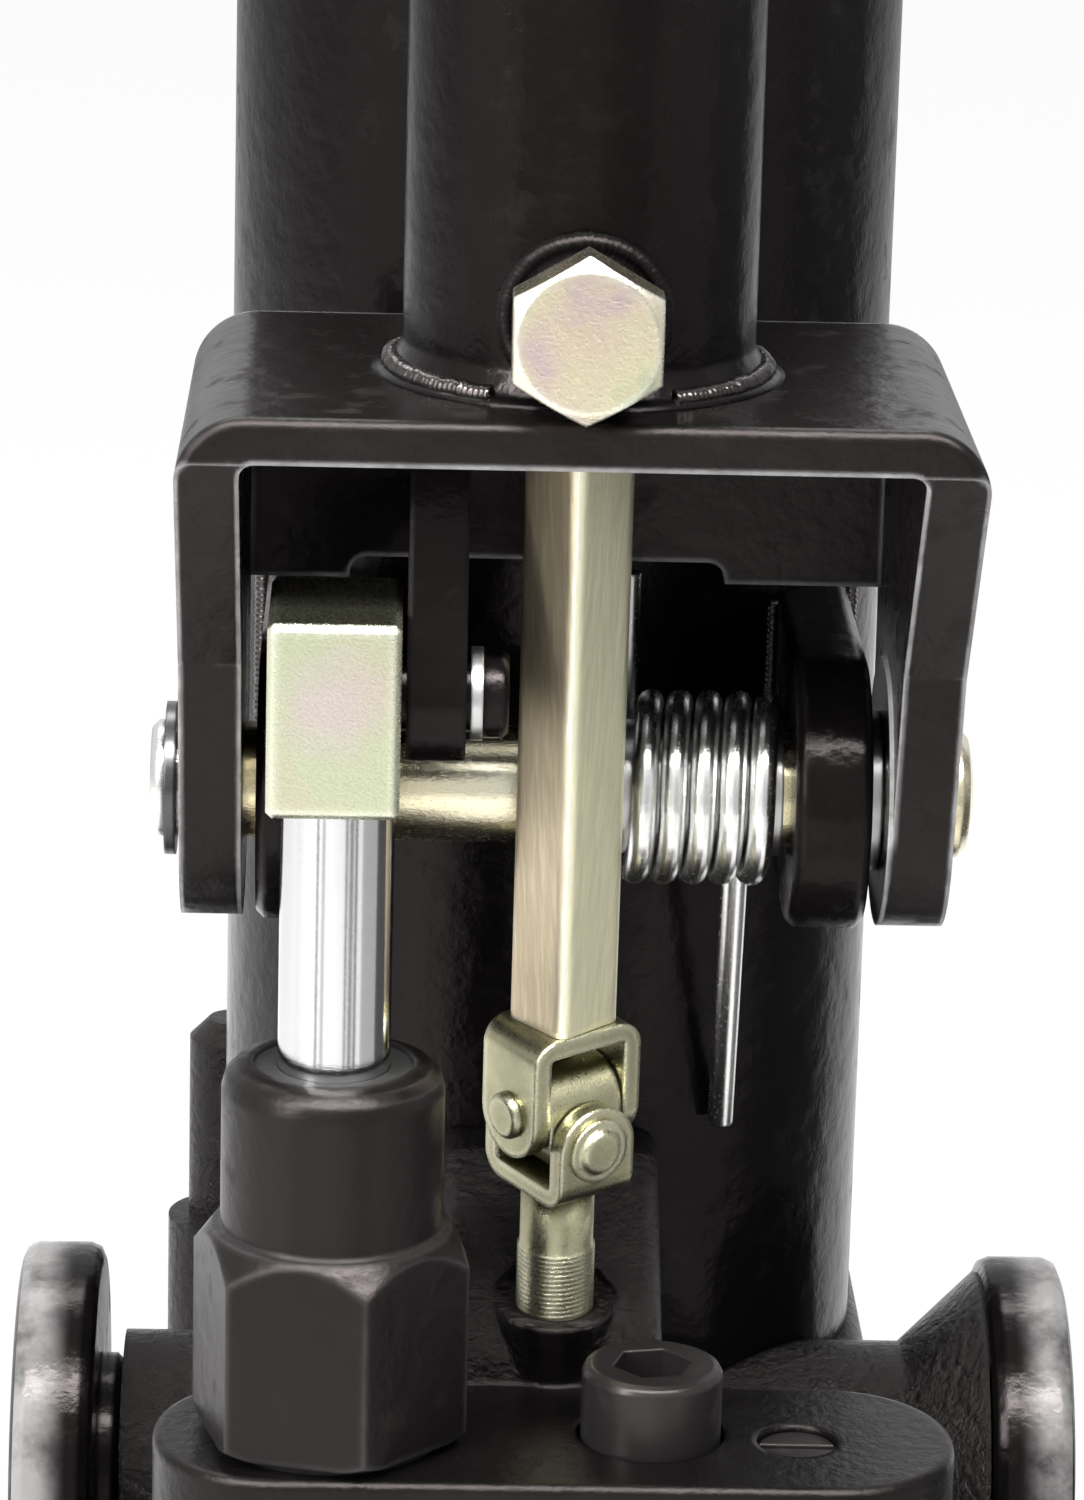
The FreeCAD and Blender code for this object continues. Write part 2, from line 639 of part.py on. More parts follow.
def drive_arm():
    x0, x1 = ARM_X
    c = (DRIVE_Y, DRIVE_Z)
    y_back = YOKE_BACK - WEB_T - LAY
    top = YOKE_TOP - PLATE_T - LAY
    front = (DRIVE_Y + 3, top)
    rear = (y_back, WEB_BOTTOM + 8)
    ta = tangent_from(front, c, ARM_EYE, -1)
    tb = tangent_from(rear, c, ARM_EYE, 1)
    mid = (c[0] + ARM_EYE * math.cos(math.radians(215)), c[1] + ARM_EYE * math.sin(math.radians(215)))

    def p(q):
        return V(x0, q[0], q[1])

    edges = [Part.LineSegment(p((y_back, top)), p(front)), Part.LineSegment(p(front), p(ta)),
             Part.Arc(p(ta), p(mid), p(tb)), Part.LineSegment(p(tb), p(rear)),
             Part.LineSegment(p(rear), p((y_back, top)))]
    body = Part.Face(Part.Wire([e.toShape() for e in edges])).extrude(V(x1 - x0, 0, 0))
    body = body.cut(cyl(PLATE_HOLE, 60, V(0, SOCKET_Y, YOKE_TOP - 45)))
    return body.cut(cyl(DRIVE_R + PRESS, 20, V(x0 - 2, DRIVE_Y, DRIVE_Z), X1))


def drive_pin():
    left = HEAD_MID - HEAD_X / 2 + 4.2
    right = -8.5
    nut = right - 3.3
    return turned([(0, 0), (DRIVE_R - 0.8, 0), (DRIVE_R, 0.8), (DRIVE_R, nut - left), (5.8, nut - left),
                   (5.8, right - left - 0.8), (5.0, right - left), (0, right - left)],
                  V(left, DRIVE_Y, DRIVE_Z), X1)


def drive_washer():
    return tube(6.2, DRIVE_R + RUN, 1.6, V(-13.5, DRIVE_Y, DRIVE_Z), X1)


def handle_socket():
    h = SOCKET_TOP - YOKE_TOP
    body = tube(SOCKET_R, SOCKET_BORE, h, V(0, SOCKET_Y, YOKE_TOP + LAY))
    body = bevelled(body, 0.9, lambda e, p: near(p.z, SOCKET_TOP + LAY))
    weld = turned([(SOCKET_R - 1, 0), (SOCKET_R + WELD, 0), (SOCKET_R + 1.4, 1.2), (SOCKET_R, WELD),
                   (SOCKET_R - 1, WELD)], V(0, SOCKET_Y, YOKE_TOP + LAY), Z1)
    body = body.fuse(weld)
    body = body.cut(box(-20, 20, -140, YOKE_FRONT + 7.5 + SIDE, YOKE_TOP - 2, 240))
    body = body.cut(cyl(BOSS_R + PRESS, 40, V(0, -84, BOLT_Z), V(0, -1, 0)))
    return body.removeSplitter()


def lock_nut():
    """Round nut let into the socket wall and welded; the lock bolt runs in it."""
    y0 = BOLT_FACE + BOLT_HEAD + SIDE
    body = cyl(BOSS_R, SOCKET_Y - SOCKET_BORE / 2 - y0, V(0, y0, BOLT_Z), Y1)
    body = body.cut(box(-20, 20, -140, -60, YOKE_TOP - 20, YOKE_TOP + 2 * LAY))
    keep = cyl(SOCKET_BORE, 80, V(0, SOCKET_Y, YOKE_TOP - 5))
    body = body.cut(keep)
    return body.cut(cyl(BOLT_R + RUN, 60, V(0, -140, BOLT_Z), Y1))


def lock_bolt():
    head = hexagon(BOLT_AF, BOLT_HEAD, V(0, BOLT_FACE + BOLT_HEAD, BOLT_Z), V(0, -1, 0), 0.0)
    r = BOLT_AF / math.sqrt(3.0)
    ball = turned([(0, 0), (r + 0.1, 0), (r + 0.1, BOLT_HEAD - 1.5), (r - 1.9, BOLT_HEAD), (0, BOLT_HEAD)],
                  V(0, BOLT_FACE + BOLT_HEAD, BOLT_Z), V(0, -1, 0))
    head = head.common(ball)
    if head.BoundBox.ZLength < head.BoundBox.XLength:
        head.rotate(V(0, 0, BOLT_Z), Y1, 30)
    h = SOCKET_Y - SOCKET_BORE - BOLT_FACE - BOLT_HEAD
    shank = turned([(0, 0), (BOLT_R - 1, 0), (BOLT_R, 1), (BOLT_R, h + 0.5), (0, h + 0.5)],
                   V(0, SOCKET_Y - SOCKET_BORE, BOLT_Z), V(0, -1, 0))
    return head.fuse(shank).removeSplitter()


# Release rod, universal joint, valve
def release_rod():
    a = ROD_SIDE / 2
    low = UPPER_FLOOR + 0.1
    body = box(-a, a, -a, a, 0, ROD_TOP - low)
    body = rounded(body, 1.5, lambda e, p: is_along(e, Z1))
    body = rounded(body, 0.8, lambda e, p: near(p.z, ROD_TOP - low))
    return on_line(body, low, ROD_TURN)


def fork(floor, pivot):
    """Stamped U, drawn floor up: the pivot runs along X through its two cheeks."""
    reach = abs(floor - pivot)
    a = FORK_L / 2
    b = FORK_W / 2
    out = box(-a, a, -b, b, -reach - b, 0)
    out = rounded(out, 3.6, lambda e, p: is_along(e, Y1) and near(p.z, 0))
    gap = box(-a + FORK_T, a - FORK_T, -20, 20, -reach - 20, -FORK_T)
    gap = rounded(gap, 0.6, lambda e, p: is_along(e, Y1) and near(p.z, -FORK_T))
    side = cyl(b, 40, V(-20, 0, -reach), X1).fuse(box(-20, 20, -b, b, -reach, 0))
    body = out.cut(gap).common(side.removeSplitter())
    return body.cut(cyl(RIVET_R + PRESS, 40, V(-20, 0, -reach), X1))


def upper_fork():
    return on_line(fork(UPPER_FLOOR, PIVOT_UP), UPPER_FLOOR)


def lower_fork():
    body = fork(LOWER_FLOOR, PIVOT_DOWN)
    body.rotate(V(0, 0, 0), X1, 180)
    body.rotate(V(0, 0, 0), Z1, 90)
    return on_line(body, LOWER_FLOOR)


def joint_block():
    """Cross block: its upper end turns on the upper rivet, its lower end on the lower one."""
    w = FORK_L / 2 - FORK_T - 0.3
    r = PIVOT_DOWN - LOWER_FLOOR - FORK_T - 0.5
    body = box(-w, w, -w, w, PIVOT_DOWN - r, PIVOT_UP + w)
    top = cyl(w, 30, V(-15, 0, PIVOT_UP), X1).fuse(box(-15, 15, -w, w, -20, PIVOT_UP))
    low = cyl(r, 30, V(0, -15, PIVOT_DOWN), Y1).fuse(box(-w, w, -15, 15, PIVOT_DOWN, 20))
    body = body.common(top).common(low)
    body = body.cut(cyl(RIVET_R + RUN, 30, V(-15, 0, PIVOT_UP), X1))
    body = body.cut(cyl(RIVET_R + RUN, 30, V(0, -15, PIVOT_DOWN), Y1))
    return on_line(body.removeSplitter())


def rivet(along, s, disc=3.3):
    """Pivot with two heads; disc is the radius of the flat step under each head."""
    half = FORK_L / 2 + LAY
    end = 2 * half + 2.6
    body = turned([(0, 0), (2.7, 0), (3.2, 0.5), (3.2, 0.8), (disc, 0.8), (disc, 1.3), (RIVET_R, 1.3),
                   (RIVET_R, end - 1.3), (disc, end - 1.3), (disc, end - 0.8), (3.2, end - 0.8),
                   (3.2, end - 0.5), (2.7, end), (0, end)], V(0, 0, 0), Z1)
    body.translate(V(0, 0, -half - 1.3))
    body.Placement = FreeCAD.Placement(V(0, 0, 0), FreeCAD.Rotation(Z1, along)).multiply(body.Placement)
    return on_line(body, s)


def valve_stem():
    top = LOWER_FLOOR - 0.1
    h = top - STEM_LOW
    r = STEM_R - 0.3
    neck = NECK_LOW - STEM_LOW
    return turned([(0, 0), (1.2, 0), (3.2, 4), (STEM_R, 4), (STEM_R, neck - 0.5), (r, neck), (r, h), (0, h)],
                  line_at(STEM_LOW), line_dir())


def ball(r, at):
    """Small hidden ball, turned from a coarse outline to keep its faces few."""
    steps = 8
    outline = []
    for k in range(steps + 1):
        a = math.pi * k / steps - math.pi / 2
        outline.append((max(0.0, r * math.cos(a)) if 0 < k < steps else 0.0, r * math.sin(a)))
    return turned(outline, at, Z1)


def valve_ball():
    return ball(3.0, line_at(STEM_LOW - 3.05))


def pump_check():
    """Inlet ball under the pump bore."""
    return ball(2.6, V(PUMP_X, PUMP_Y, PUMP_LOW - 4.0))


# Fasteners on the block
def cap_screw():
    z = BLOCK_TOP - CAP_SINK + LAY
    head = turned([(0, 0), (CAP_HEAD_R, 0), (CAP_HEAD_R, CAP_HEAD_H - 1.2), (CAP_HEAD_R - 0.4, CAP_HEAD_H - 0.4),
                   (CAP_HEAD_R - 1.3, CAP_HEAD_H), (0, CAP_HEAD_H)], V(CAP_X, CAP_Y, z), Z1)
    shank = cyl(CAP_R, 30.5, V(CAP_X, CAP_Y, z - 30))
    body = head.fuse(shank)
    body = body.cut(hexagon(CAP_SOCKET, 7, V(CAP_X, CAP_Y, z + CAP_HEAD_H - 6.5), Z1, 12.0))
    return body


def slotted_plug():
    z = BLOCK_TOP - 23.5
    body = turned([(0, 0), (SLOT_R - 0.8, 0), (SLOT_R, 0.8), (SLOT_R, 22.2), (SLOT_R - 0.5, 22.7), (0, 22.7)],
                  V(SLOT_X, SLOT_Y, z), Z1)
    return body.cut(box(SLOT_X - 8, SLOT_X + 8, SLOT_Y - 0.7, SLOT_Y + 0.7, z + 20.5, z + 30))


def relief_ball():
    return ball(2.1, V(SLOT_X, SLOT_Y, BLOCK_TOP - 26.5))


def main():
    os.makedirs("parts", exist_ok=True)
    parts = {
        "base_casting": base_casting(),
        "tank_tube": tank(),
        "tank_plug": tank_plug(),
        "pressure_cylinder": pressure_cylinder(),
        "top_nut": top_nut(),
        "ram_wiper": ram_wiper(),
        "ram": ram(),
        "ram_seal": ram_seal(),
        "extension_screw": extension_screw(),
        "saddle": saddle(),
        "wheel_left": wheel(-1),
        "wheel_right": wheel(1),
        "wheel_washers": wheel_washers(),
        "wheel_clips": wheel_clips(),
        "pump_body": pump_body(),
        "pump_wiper": pump_wiper(),
        "pump_plunger": plunger(),
        "plunger_head": plunger_head(),
        "lug_right": lug(*LUG_RIGHT),
        "lug_left": lug(*LUG_LEFT),
        "main_pin": main_pin(),
        "pin_ring": pin_ring(),
        "pin_washer": pin_washer(),
        "spring_sleeve": spring_sleeve(),
        "torsion_spring": spring(),
        "yoke": yoke(),
        "yoke_web": yoke_web(),
        "drive_arm": drive_arm(),
        "drive_pin": drive_pin(),
        "drive_washer": drive_washer(),
        "handle_socket": handle_socket(),
        "lock_nut": lock_nut(),
        "lock_bolt": lock_bolt(),
        "release_rod": release_rod(),
        "upper_fork": upper_fork(),
        "upper_rivet": rivet(X1, PIVOT_UP),
        "joint_block": joint_block(),
        "lower_rivet": rivet(Y1, PIVOT_DOWN, 4.6),
        "lower_fork": lower_fork(),
        "valve_stem": valve_stem(),
        "valve_ball": valve_ball(),
        "inlet_ball": pump_check(),
        "cap_screw": cap_screw(),
        "slotted_plug": slotted_plug(),
        "relief_ball": relief_ball(),
    }
    for name, shape in parts.items():
        if not shape.isValid():
            print("not valid:", name)
        print("%-18s solids %d volume %.1f" % (name, len(shape.Solids), shape.Volume))
        shape.exportStep("parts/" + name + ".step")


main()
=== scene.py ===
import math
import random

import bpy
from mathutils import Matrix, Vector


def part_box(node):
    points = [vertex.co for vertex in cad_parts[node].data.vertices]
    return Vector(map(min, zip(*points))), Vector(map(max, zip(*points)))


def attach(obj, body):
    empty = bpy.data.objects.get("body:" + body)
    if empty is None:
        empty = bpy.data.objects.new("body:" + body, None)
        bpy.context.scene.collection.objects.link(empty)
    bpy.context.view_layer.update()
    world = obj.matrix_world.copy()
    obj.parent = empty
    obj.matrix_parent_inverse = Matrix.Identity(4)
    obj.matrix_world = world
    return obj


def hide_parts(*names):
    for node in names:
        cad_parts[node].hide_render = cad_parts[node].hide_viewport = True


bl_info = {
    "name": "Floor jack looks",
    "version": (1, 0),
    "blender": (4, 5, 0),
    "location": "3D View > Sidebar > Jack",
    "description": "Materials, threads, weld beads, stage and camera of the floor jack",
    "category": "Object",
}

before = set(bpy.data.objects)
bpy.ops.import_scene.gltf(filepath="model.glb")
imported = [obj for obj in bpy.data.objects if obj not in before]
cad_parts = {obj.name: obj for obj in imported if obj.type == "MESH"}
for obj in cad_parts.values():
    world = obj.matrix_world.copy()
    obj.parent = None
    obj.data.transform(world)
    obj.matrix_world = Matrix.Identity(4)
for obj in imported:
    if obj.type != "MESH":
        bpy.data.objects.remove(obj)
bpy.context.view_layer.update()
MM = 0.001
TANK_RADIUS = 0.048
# The wheels' axle, the radius past which the tread begins, and the span along X over which the painted
# highlight on the tread fades in
WHEEL_AXLE = (0, -0.034, 0.0313)
TREAD_RADIUS = 0.0305
TREAD_HIGHLIGHT_FROM = 0.0685
TREAD_HIGHLIGHT_FULL = 0.0735
# Rows of points in one turn of a thread
ROWS_PER_TURN = 9.0
# Tint of the black paint's gloss
WARM_GLOSS = (1.0, 0.88, 0.87, 1.0)


def size(name, text, value):
    return bpy.props.FloatProperty(name=name, description=text, default=value, unit="LENGTH")


class JackSizes(bpy.types.PropertyGroup):
    stem_radius: size("Stem radius", "Outside radius of the release valve's stem", 0.0054)
    stem_pitch: size("Stem pitch", "Pitch of the fine thread on the stem", 0.0007)
    stem_neck: size("Stem neck", "Plain length between the thread and the fork", 0.0089)
    screw_radius: size("Screw radius", "Outside radius of the extension screw", 0.012)
    screw_pitch: size("Screw pitch", "Pitch of the extension screw's thread", 0.003)
    bead_width: size("Bead width", "Width of a weld bead", 0.0030)
    bead_step: size("Bead step", "Distance between two ripples of a weld", 0.0008)
    peel_size: size("Peel size", "Size of the ripples in the thick paint", 0.0045)
    cast_size: size("Cast size", "Size of the pits in the rough casting", 0.0016)


def colour(name, text, value):
    return bpy.props.FloatVectorProperty(name=name, description=text, default=value, size=3,
                                         subtype="COLOR", min=0.0, max=1.0)


class JackColours(bpy.types.PropertyGroup):
    paint: colour("Paint", "Black paint of the tank, yoke and lugs", (0.0030, 0.0025, 0.0025))
    cast: colour("Casting paint", "Black paint on the rough base casting", (0.0045, 0.0039, 0.0039))
    dust: colour("Dust", "Pale haze that gathers on the paint", (0.064, 0.057, 0.056))
    zinc_yellow: colour("Zinc, yellow", "Yellow part of the zinc plating", (0.50, 0.48, 0.35))
    zinc_pink: colour("Zinc, pink", "Pink part of the zinc plating", (0.60, 0.47, 0.50))
    zinc_green: colour("Zinc, green", "Green part of the zinc plating", (0.46, 0.51, 0.34))
    khaki: colour("Khaki zinc", "Dull plating of the joint and the stem", (0.36, 0.345, 0.225))
    # The rod's two tints are laid on by which way a face looks, a painted light and shade over the
    # plating's own colours
    rod_red: colour("Rod, red side", "Brown-red plating on the rod's left faces", (0.70, 0.58, 0.40))
    rod_gold: colour("Rod, gold side", "Yellow-green plating on the rod's right faces", (0.84, 0.81, 0.57))
    steel: colour("Steel", "Bare bright steel", (0.62, 0.62, 0.61))
    chrome: colour("Chrome", "Polished plunger and ram", (0.56, 0.56, 0.56))
    rubber: colour("Rubber", "Seals and the filler plug", (0.018, 0.018, 0.018))


# Geometry helpers
def new_piece(name, verts, faces, body, material):
    """A plain mesh piece in the CAD's frame that rides on a CAD body."""
    mesh = bpy.data.meshes.new(name)
    mesh.from_pydata([tuple(v) for v in verts], [], faces)
    mesh.validate()
    mesh.update()
    for poly in mesh.polygons:
        poly.use_smooth = True
    obj = bpy.data.objects.new(name, mesh)
    bpy.context.scene.collection.objects.link(obj)
    mesh.materials.append(material)
    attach(obj, body)
    return obj


def frame_along(axis):
    """Two directions square to axis."""
    axis = Vector(axis).normalized()
    side = Vector((1, 0, 0)) if abs(axis.x) < 0.9 else Vector((0, 1, 0))
    u = (side - axis * side.dot(axis)).normalized()
    return u, axis.cross(u)


def threaded_bar(profile, start, axis, span, pitch, depth, segments=56):
    """Turned bar with a real thread over part of its length.

    profile is a list of (height, radius), span the thread's (from, to)."""
    axis = Vector(axis).normalized()
    u, v = frame_along(axis)
    rows = []
    step = pitch / ROWS_PER_TURN
    for (h0, r0), (h1, r1) in zip(profile[:-1], profile[1:]):
        rows.append((h0, r0))
        if h1 - h0 > step and h0 < span[1] and h1 > span[0]:
            n = int((h1 - h0) / step)
            for k in range(1, n):
                t = k / n
                rows.append((h0 + (h1 - h0) * t, r0 + (r1 - r0) * t))
    rows.append(profile[-1])
    verts = []
    faces = []
    for h, r in rows:
        inside = min(h - span[0], span[1] - h)
        fade = max(0.0, min(1.0, inside / pitch))
        for k in range(segments):
            a = 2 * math.pi * k / segments
            phase = (h / pitch - k / segments) % 1.0
            groove = min(1.0, max(0.0, 1.25 - abs(phase - 0.5) * 4.2)) if fade > 0 else 0.0
            rr = r - depth * groove * fade
            verts.append(start + axis * h + (u * math.cos(a) + v * math.sin(a)) * rr)
    for i in range(len(rows) - 1):
        for k in range(segments):
            k2 = (k + 1) % segments
            low = i * segments
            high = low + segments
            faces.append((low + k, low + k2, high + k2, high + k))
    faces.append(tuple(reversed(range(segments))))
    last = (len(rows) - 1) * segments
    faces.append(tuple(last + k for k in range(segments)))
    return verts, faces


# Node tree helpers
def add(tree, kind, at=(0, 0), **values):
    node = tree.nodes.new(kind)
    node.location = at
    for key, value in values.items():
        setattr(node, key, value)
    return node


def wire(tree, a, out, b, into):
    tree.links.new(a.outputs[out], b.inputs[into])


def ramp(tree, stops, at=(0, 0)):
    node = add(tree, "ShaderNodeValToRGB", at)
    elements = node.color_ramp.elements
    while len(elements) < len(stops):
        elements.new(0.5)
    for element, (place, value) in zip(elements, stops):
        element.position = place
        if isinstance(value, (int, float)):
            value = (value, value, value)
        element.color = (value[0], value[1], value[2], 1.0)
    return node


def math_node(tree, operation, a, b, at=(0, 0), clamp=False):
    node = add(tree, "ShaderNodeMath", at, operation=operation, use_clamp=clamp)
    for i, value in enumerate((a, b)):
        if isinstance(value, tuple):
            wire(tree, value[0], value[1], node, i)
        else:
            node.inputs[i].default_value = value
    return node


def mix_colour(tree, factor, a, b, at=(0, 0), blend="MIX"):
    node = add(tree, "ShaderNodeMix", at, data_type="RGBA", blend_type=blend)
    for index, value in ((0, factor), (6, a), (7, b)):
        if isinstance(value, tuple) and isinstance(value[0], bpy.types.Node):
            tree.links.new(value[0].outputs[value[1]], node.inputs[index])
        elif index == 0:
            node.inputs[0].default_value = value
        else:
            node.inputs[index].default_value = (value[0], value[1], value[2], 1.0)
    return node


def noise_node(tree, scale, detail=4.0, rough=0.55, stretch=(1, 1, 1), at=(0, 0), seed=0.0):
    coords = add(tree, "ShaderNodeTexCoord", (at[0] - 400, at[1]))
    place = add(tree, "ShaderNodeMapping", (at[0] - 200, at[1]))
    place.inputs["Location"].default_value = (seed, seed * 0.7, seed * 1.3)
    place.inputs["Scale"].default_value = stretch
    wire(tree, coords, "Object", place, "Vector")
    node = add(tree, "ShaderNodeTexNoise", at)
    node.inputs["Scale"].default_value = scale
    node.inputs["Detail"].default_value = detail
    node.inputs["Roughness"].default_value = rough
    wire(tree, place, "Vector", node, "Vector")
    return node


def group_socket(tree, name, kind, out=False, default=None):
    socket = tree.interface.new_socket(name=name, in_out="OUTPUT" if out else "INPUT", socket_type=kind)
    if default is not None:
        socket.default_value = default
    return socket


def edge_group():
    """Mask of the outer edges, broken into patches, for a given edge width; it marks worn edges and also a
    painted highlight along the edges.
    """
    tree = bpy.data.node_groups.new("Edge wear and highlight", "ShaderNodeTree")
    group_socket(tree, "Width", "NodeSocketFloat", default=0.001)
    group_socket(tree, "Patchiness", "NodeSocketFloat", default=0.5)
    group_socket(tree, "Mask", "NodeSocketFloat", out=True)
    inside = add(tree, "NodeGroupInput", (-900, 0))
    outside = add(tree, "NodeGroupOutput", (700, 0))
    bevel = add(tree, "ShaderNodeBevel", (-700, 100), samples=4)
    wire(tree, inside, "Width", bevel, "Radius")
    geo = add(tree, "ShaderNodeNewGeometry", (-700, -100))
    dot = add(tree, "ShaderNodeVectorMath", (-500, 0), operation="DOT_PRODUCT")
    wire(tree, bevel, "Normal", dot, 0)
    wire(tree, geo, "Normal", dot, 1)
    turn = math_node(tree, "SUBTRACT", 1.0, (dot, "Value"), (-300, 0))
    rise = math_node(tree, "MULTIPLY", (turn, 0), 9.0, (-100, 0), clamp=True)
    patch = noise_node(tree, 220.0, 5.0, 0.6, at=(-300, -300))
    broken = math_node(tree, "MULTIPLY", (patch, "Fac"), (inside, "Patchiness"), (-100, -300))
    keep = math_node(tree, "SUBTRACT", (rise, 0), (broken, 0), (200, 0), clamp=True)
    wire(tree, keep, 0, outside, "Mask")
    return tree


def grain_group():
    """Height of thick paint: slow ripples and fine grain."""
    tree = bpy.data.node_groups.new("Paint height", "ShaderNodeTree")
    group_socket(tree, "Ripple scale", "NodeSocketFloat", default=220.0)
    group_socket(tree, "Grain scale", "NodeSocketFloat", default=1500.0)
    group_socket(tree, "Grain share", "NodeSocketFloat", default=0.25)
    group_socket(tree, "Height", "NodeSocketFloat", out=True)
    inside = add(tree, "NodeGroupInput", (-900, 0))
    outside = add(tree, "NodeGroupOutput", (700, 0))
    ripple = noise_node(tree, 220.0, 2.0, 0.5, at=(-300, 200))
    wire(tree, inside, "Ripple scale", ripple, "Scale")
    grain = noise_node(tree, 1500.0, 3.0, 0.6, at=(-300, -100), seed=0.3)
    wire(tree, inside, "Grain scale", grain, "Scale")
    share = math_node(tree, "MULTIPLY", (grain, "Fac"), (inside, "Grain share"), (0, -100))
    total = math_node(tree, "ADD", (ripple, "Fac"), (share, 0), (200, 0))
    wire(tree, total, 0, outside, "Height")
    return tree


def blotch_group():
    """Slow uneven mask for dust, dull spots, plating and the patchy painted highlight on the wheels'
    treads.
    """
    tree = bpy.data.node_groups.new("Blotches", "ShaderNodeTree")
    group_socket(tree, "Scale", "NodeSocketFloat", default=40.0)
    group_socket(tree, "Low", "NodeSocketFloat", default=0.45)
    group_socket(tree, "High", "NodeSocketFloat", default=0.7)
    group_socket(tree, "Mask", "NodeSocketFloat", out=True)
    inside = add(tree, "NodeGroupInput", (-900, 0))
    outside = add(tree, "NodeGroupOutput", (700, 0))
    cloud = noise_node(tree, 40.0, 6.0, 0.62, at=(-300, 0), seed=1.7)
    wire(tree, inside, "Scale", cloud, "Scale")
    span = add(tree, "ShaderNodeMapRange", (0, 0), clamp=True)
    wire(tree, cloud, "Fac", span, "Value")
    wire(tree, inside, "Low", span, "From Min")
    wire(tree, inside, "High", span, "From Max")
    wire(tree, span, "Result", outside, "Mask")
    return tree


def use_group(tree, name, at=(0, 0), **values):
    node = add(tree, "ShaderNodeGroup", at)
    node.node_tree = bpy.data.node_groups[name]
    for key, value in values.items():
        node.inputs[key.replace("_", " ")].default_value = value
    return node


def look(name):
    return bpy.data.materials["look_" + name]


def new_material(name):
    mat = bpy.data.materials.new("look_" + name)
    mat.use_nodes = True
    tree = mat.node_tree
    shader = next(n for n in tree.nodes if n.type == "BSDF_PRINCIPLED")
    shader.location = (600, 0)
    return mat, tree, shader


def rounded_normal(tree, shader, height, distance, strength, width, at=(200, -400)):
    """Softens the solids' sharp edges and adds the height as bump."""
    bevel = add(tree, "ShaderNodeBevel", (at[0] - 200, at[1] - 200), samples=6)
    bevel.inputs["Radius"].default_value = width
    bump = add(tree, "ShaderNodeBump", at)
    bump.inputs["Distance"].default_value = distance
    bump.inputs["Strength"].default_value = strength
    wire(tree, bevel, "Normal", bump, "Normal")
    wire(tree, height[0], height[1], bump, "Height")
    wire(tree, bump, "Normal", shader, "Normal")
    return bump


def paint_material(name, base, sizes, colours, rough=0.2, ripple=0.35, spots=0.14, width=0.0012,
                   shine=0.12, edge_highlight=0.0):
    """Thick glossy paint with ripples, dull spots, haze, and pale edges that are partly rubbed paint and
    partly a painted highlight.

    The last argument sets how much brighter than the dust's own tone the edges are; this extra brightness
    is a painted highlight."""
    mat, tree, shader = new_material(name)
    height = use_group(tree, "Paint height", (-300, -400), Ripple_scale=1.0 / sizes.peel_size,
                       Grain_scale=1400.0, Grain_share=0.22)
    haze = use_group(tree, "Blotches", (-600, 200), Scale=28.0, Low=0.42, High=0.78)
    haze_share = math_node(tree, "MULTIPLY", (haze, "Mask"), 0.03, (-350, 200))
    # Pale edges: partly worn paint, partly a painted highlight; the brightness added on top of the dust
    # tone is painted highlight only
    edge_mask = use_group(tree, "Edge wear and highlight", (-600, 0), Width=width, Patchiness=0.9)
    tinted = mix_colour(tree, (haze_share, 0), base, tuple(colours.dust), (-100, 250))
    edge_share = math_node(tree, "MULTIPLY", (edge_mask, "Mask"), 0.14 + edge_highlight, (-350, 0))
    tone = tuple(v + edge_highlight for v in colours.dust)
    edge_tinted = mix_colour(tree, (edge_share, 0), (tinted, 2), tone, (150, 250))
    wire(tree, edge_tinted, 2, shader, "Base Color")
    spot = use_group(tree, "Blotches", (-600, -200), Scale=150.0, Low=0.56, High=0.66)
    spot_share = math_node(tree, "MULTIPLY", (spot, "Mask"), spots, (-350, -200))
    slow = noise_node(tree, 18.0, 3.0, at=(-350, -50), seed=4.0)
    slow_share = math_node(tree, "MULTIPLY", (slow, "Fac"), 0.16, (-150, -50))
    total = math_node(tree, "ADD", (spot_share, 0), (slow_share, 0), (0, -100))
    final = math_node(tree, "ADD", (total, 0), rough - 0.08, (150, -100), clamp=True)
    wire(tree, final, 0, shader, "Roughness")
    shader.inputs["Specular IOR Level"].default_value = shine
    shader.inputs["Specular Tint"].default_value = WARM_GLOSS
    rounded_normal(tree, shader, (height, "Height"), 0.0006, ripple, width)
    return mat


